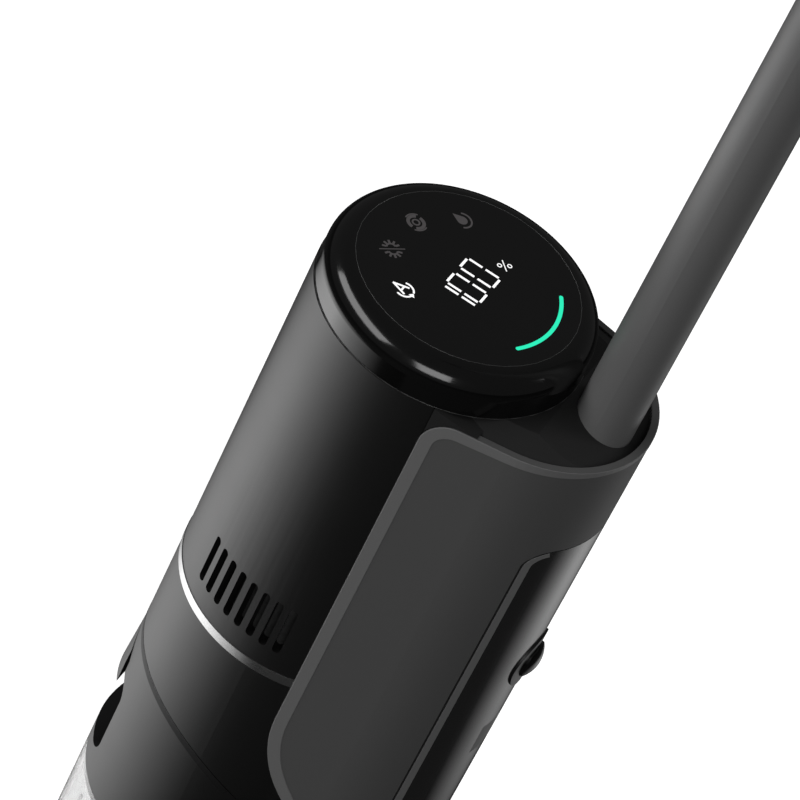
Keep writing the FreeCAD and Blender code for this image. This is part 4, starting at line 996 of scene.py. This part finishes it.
run_tree(row_of_bars, "spray_nozzles", "floor_head", Count=6, Pitch=0.038,
         Size=(0.0036, 0.0036, 0.003), Sides=12, Bar_Turn=(QUARTER, 0, 0),
         Place=(0, spray_low[1] - 0.0004, spray_low[2] + 0.003), Material=trim_steel)
cover_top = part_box("head_cover")[1][2]
run_tree(row_of_bars, "cover_ridges", "floor_head", Count=3, Pitch=0.006,
         Size=(0.0012, 0.0016, 0.15), Sides=8, Bar_Turn=(QUARTER, 0, 0), Place=(0, -0.036, cover_top),
         Turn=(0, 0, QUARTER), Material=satin_black)
print("floor head details made")

# %% [markdown]
# ### Body, tanks and handle
# The rim behind the tube is ribbed on the inside so that fingers don't slip, the hose in the neck is a spiral
# wound one, drawn as rigid rings that ride with the neck, and the waste tank has faint flow ribs and level
# marks. Inside are the pleated filter, the fan's blades and the motor's cooling ribs.

# %% Ribs, hose, filter, fan and marks
rib_centre = (0, REAR_CENTRE, frame_high[2] - 0.0034)
run_tree(ring_of_bars, "rim_ribs", "main_body", Count=84, Radius=REAR_RADIUS - 0.0030,
         Start=math.radians(-4), Sweep=math.radians(188), Size=(0.0009, 0.0009, 0.0056), Sides=6,
         Place=rib_centre, Material=deck_black)
hose_low, hose_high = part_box("neck_hose")
hose_x, hose_y, _ = middle_of("neck_hose")
run_tree(row_of_hoops, "hose_rings", "neck", smooth=True, Count=8, Pitch=0.0038,
         Radius=(hose_high[0] - hose_low[0]) / 2, Thickness=0.0011, Place=(hose_x, hose_y,
                                                                           hose_low[2] + 0.0125),
         Material=soft_rubber)
filter_x, filter_y, filter_z = middle_of("filter_cartridge")
run_tree(ring_of_bars, "filter_pleats", "waste_tank", Count=56, Radius=0.0321,
         Size=(0.0012, 0.0022, 0.036), Sides=6, Place=(filter_x, filter_y, filter_z), Material=filter_paper)
fan_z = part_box("fan_impeller")[1][2] - 0.0035
run_tree(ring_of_bars, "fan_blades", "impeller", Count=11, Radius=0.0215,
         Size=(0.020, 0.0012, 0.0052), Sides=6, Slant=0.35, Place=(0, 0, fan_z), Material=inner_grey)
motor_z = middle_of("suction_motor")[2]
run_tree(ring_of_bars, "motor_fins", "main_body", Count=30,
         Radius=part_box("suction_motor")[1][0] + 0.0002, Size=(0.0022, 0.0012, 0.030), Sides=6,
         Place=(0, 0, motor_z + 0.008), Material=inner_grey)
tank_z = middle_of("dirty_tank")[2]
run_tree(ring_of_bars, "tank_flutes", "waste_tank", Count=22, Radius=BODY_RADIUS - 0.0028,
         Size=(0.0010, 0.0022, 0.150), Sides=8, Place=(0, 0, tank_z), Material=clear_tank)
run_tree(row_of_bars, "waste_marks", "waste_tank", Count=7, Pitch=0.018,
         Size=(0.0008, 0.0004, 0.008), Sides=6, Place=(0, -BODY_RADIUS - 0.00002, tank_z),
         Turn=(0, QUARTER, 0), Material=idle_mark)
pad_low, pad_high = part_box("grip_pad")
run_tree(row_of_bars, "pad_ribs", "main_body", Count=15, Pitch=0.0042, Size=(0.0014, 0.0009, 0.015),
         Sides=8, Place=(0, pad_low[1] + 0.0001, (pad_low[2] + pad_high[2]) / 2), Turn=(0, QUARTER, 0),
         Material=soft_rubber)
for board, body in (("control_board", "main_body"), ("display_board", "main_body")):
    low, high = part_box(board)
    for row, size in enumerate(((0.007, 0.007, 0.0012), (0.004, 0.003, 0.0010), (0.003, 0.005, 0.0014))):
        run_tree(row_of_bars, f"{board}_chips_{row}", body, Count=4 + row, Pitch=0.011, Size=size, Sides=4,
                 Place=(0, -0.016 + 0.016 * row, low[2] - 0.0003), Material=satin_black)
print("body details made")

# %% [markdown]
# ### Fine edges and key marks
# A thin ring marks the glass edge and another the housing's top edge under the cap; their lighter grey is
# painted highlight where those edges catch light. The three keys on the handle carry plain marks for power,
# mode and self cleaning, printed in pale ink.

# %% Painted edge highlights and key marks
# Lighter grey for the edge rings: a painted highlight on the glass edge and on the cap seam.
edge_line = finish("edge_line", grey(0.05), grey(0.06), (0.25, 0.3), bump=0)
ink = lamp("pale_ink", (0.25, 0.25, 0.25), 0.5)


def hoop(name, radius, height, thickness, material):
    """One thin round ring about the body's axis."""
    run_tree(row_of_hoops, name, "main_body", smooth=True, Count=1, Radius=radius, Thickness=thickness,
             Place=(0, 0, height), Material=material)


hoop("glass_edge", GLASS_RADIUS + 0.0001, TOP - 0.00005, 0.00013, edge_line)
hoop("cap_seam", cap_high[0] + 0.00005, housing_high[2], 0.00016, edge_line)
for key, body, mark in (("power_button", "power_key", "power"), ("mode_button", "mode_key", "mode"),
                        ("clean_button", "clean_key", "clean")):
    low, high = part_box(key)
    art = Artwork(high[2] + LIFT, high[2] + 3 * LIFT, centre=(0, (low[1] + high[1]) / 2))
    if mark == "power":
        art.arc((0, 0), 1.7, 0.4, 125, 415)
        art.stroke([(0, 0.4), (0, 2.3)], 0.4)
    elif mark == "mode":
        for level in (-1.2, 0, 1.2):
            art.stroke([(-1.6, level), (1.6, level)], 0.4)
    else:
        art.polygon([Vector((0, 2.4))] + [Vector((0, -0.4)) + ray(t, 1.5) for t in range(150, 391, 20)])
    art.piece(f"{mark}_mark", ink, body)
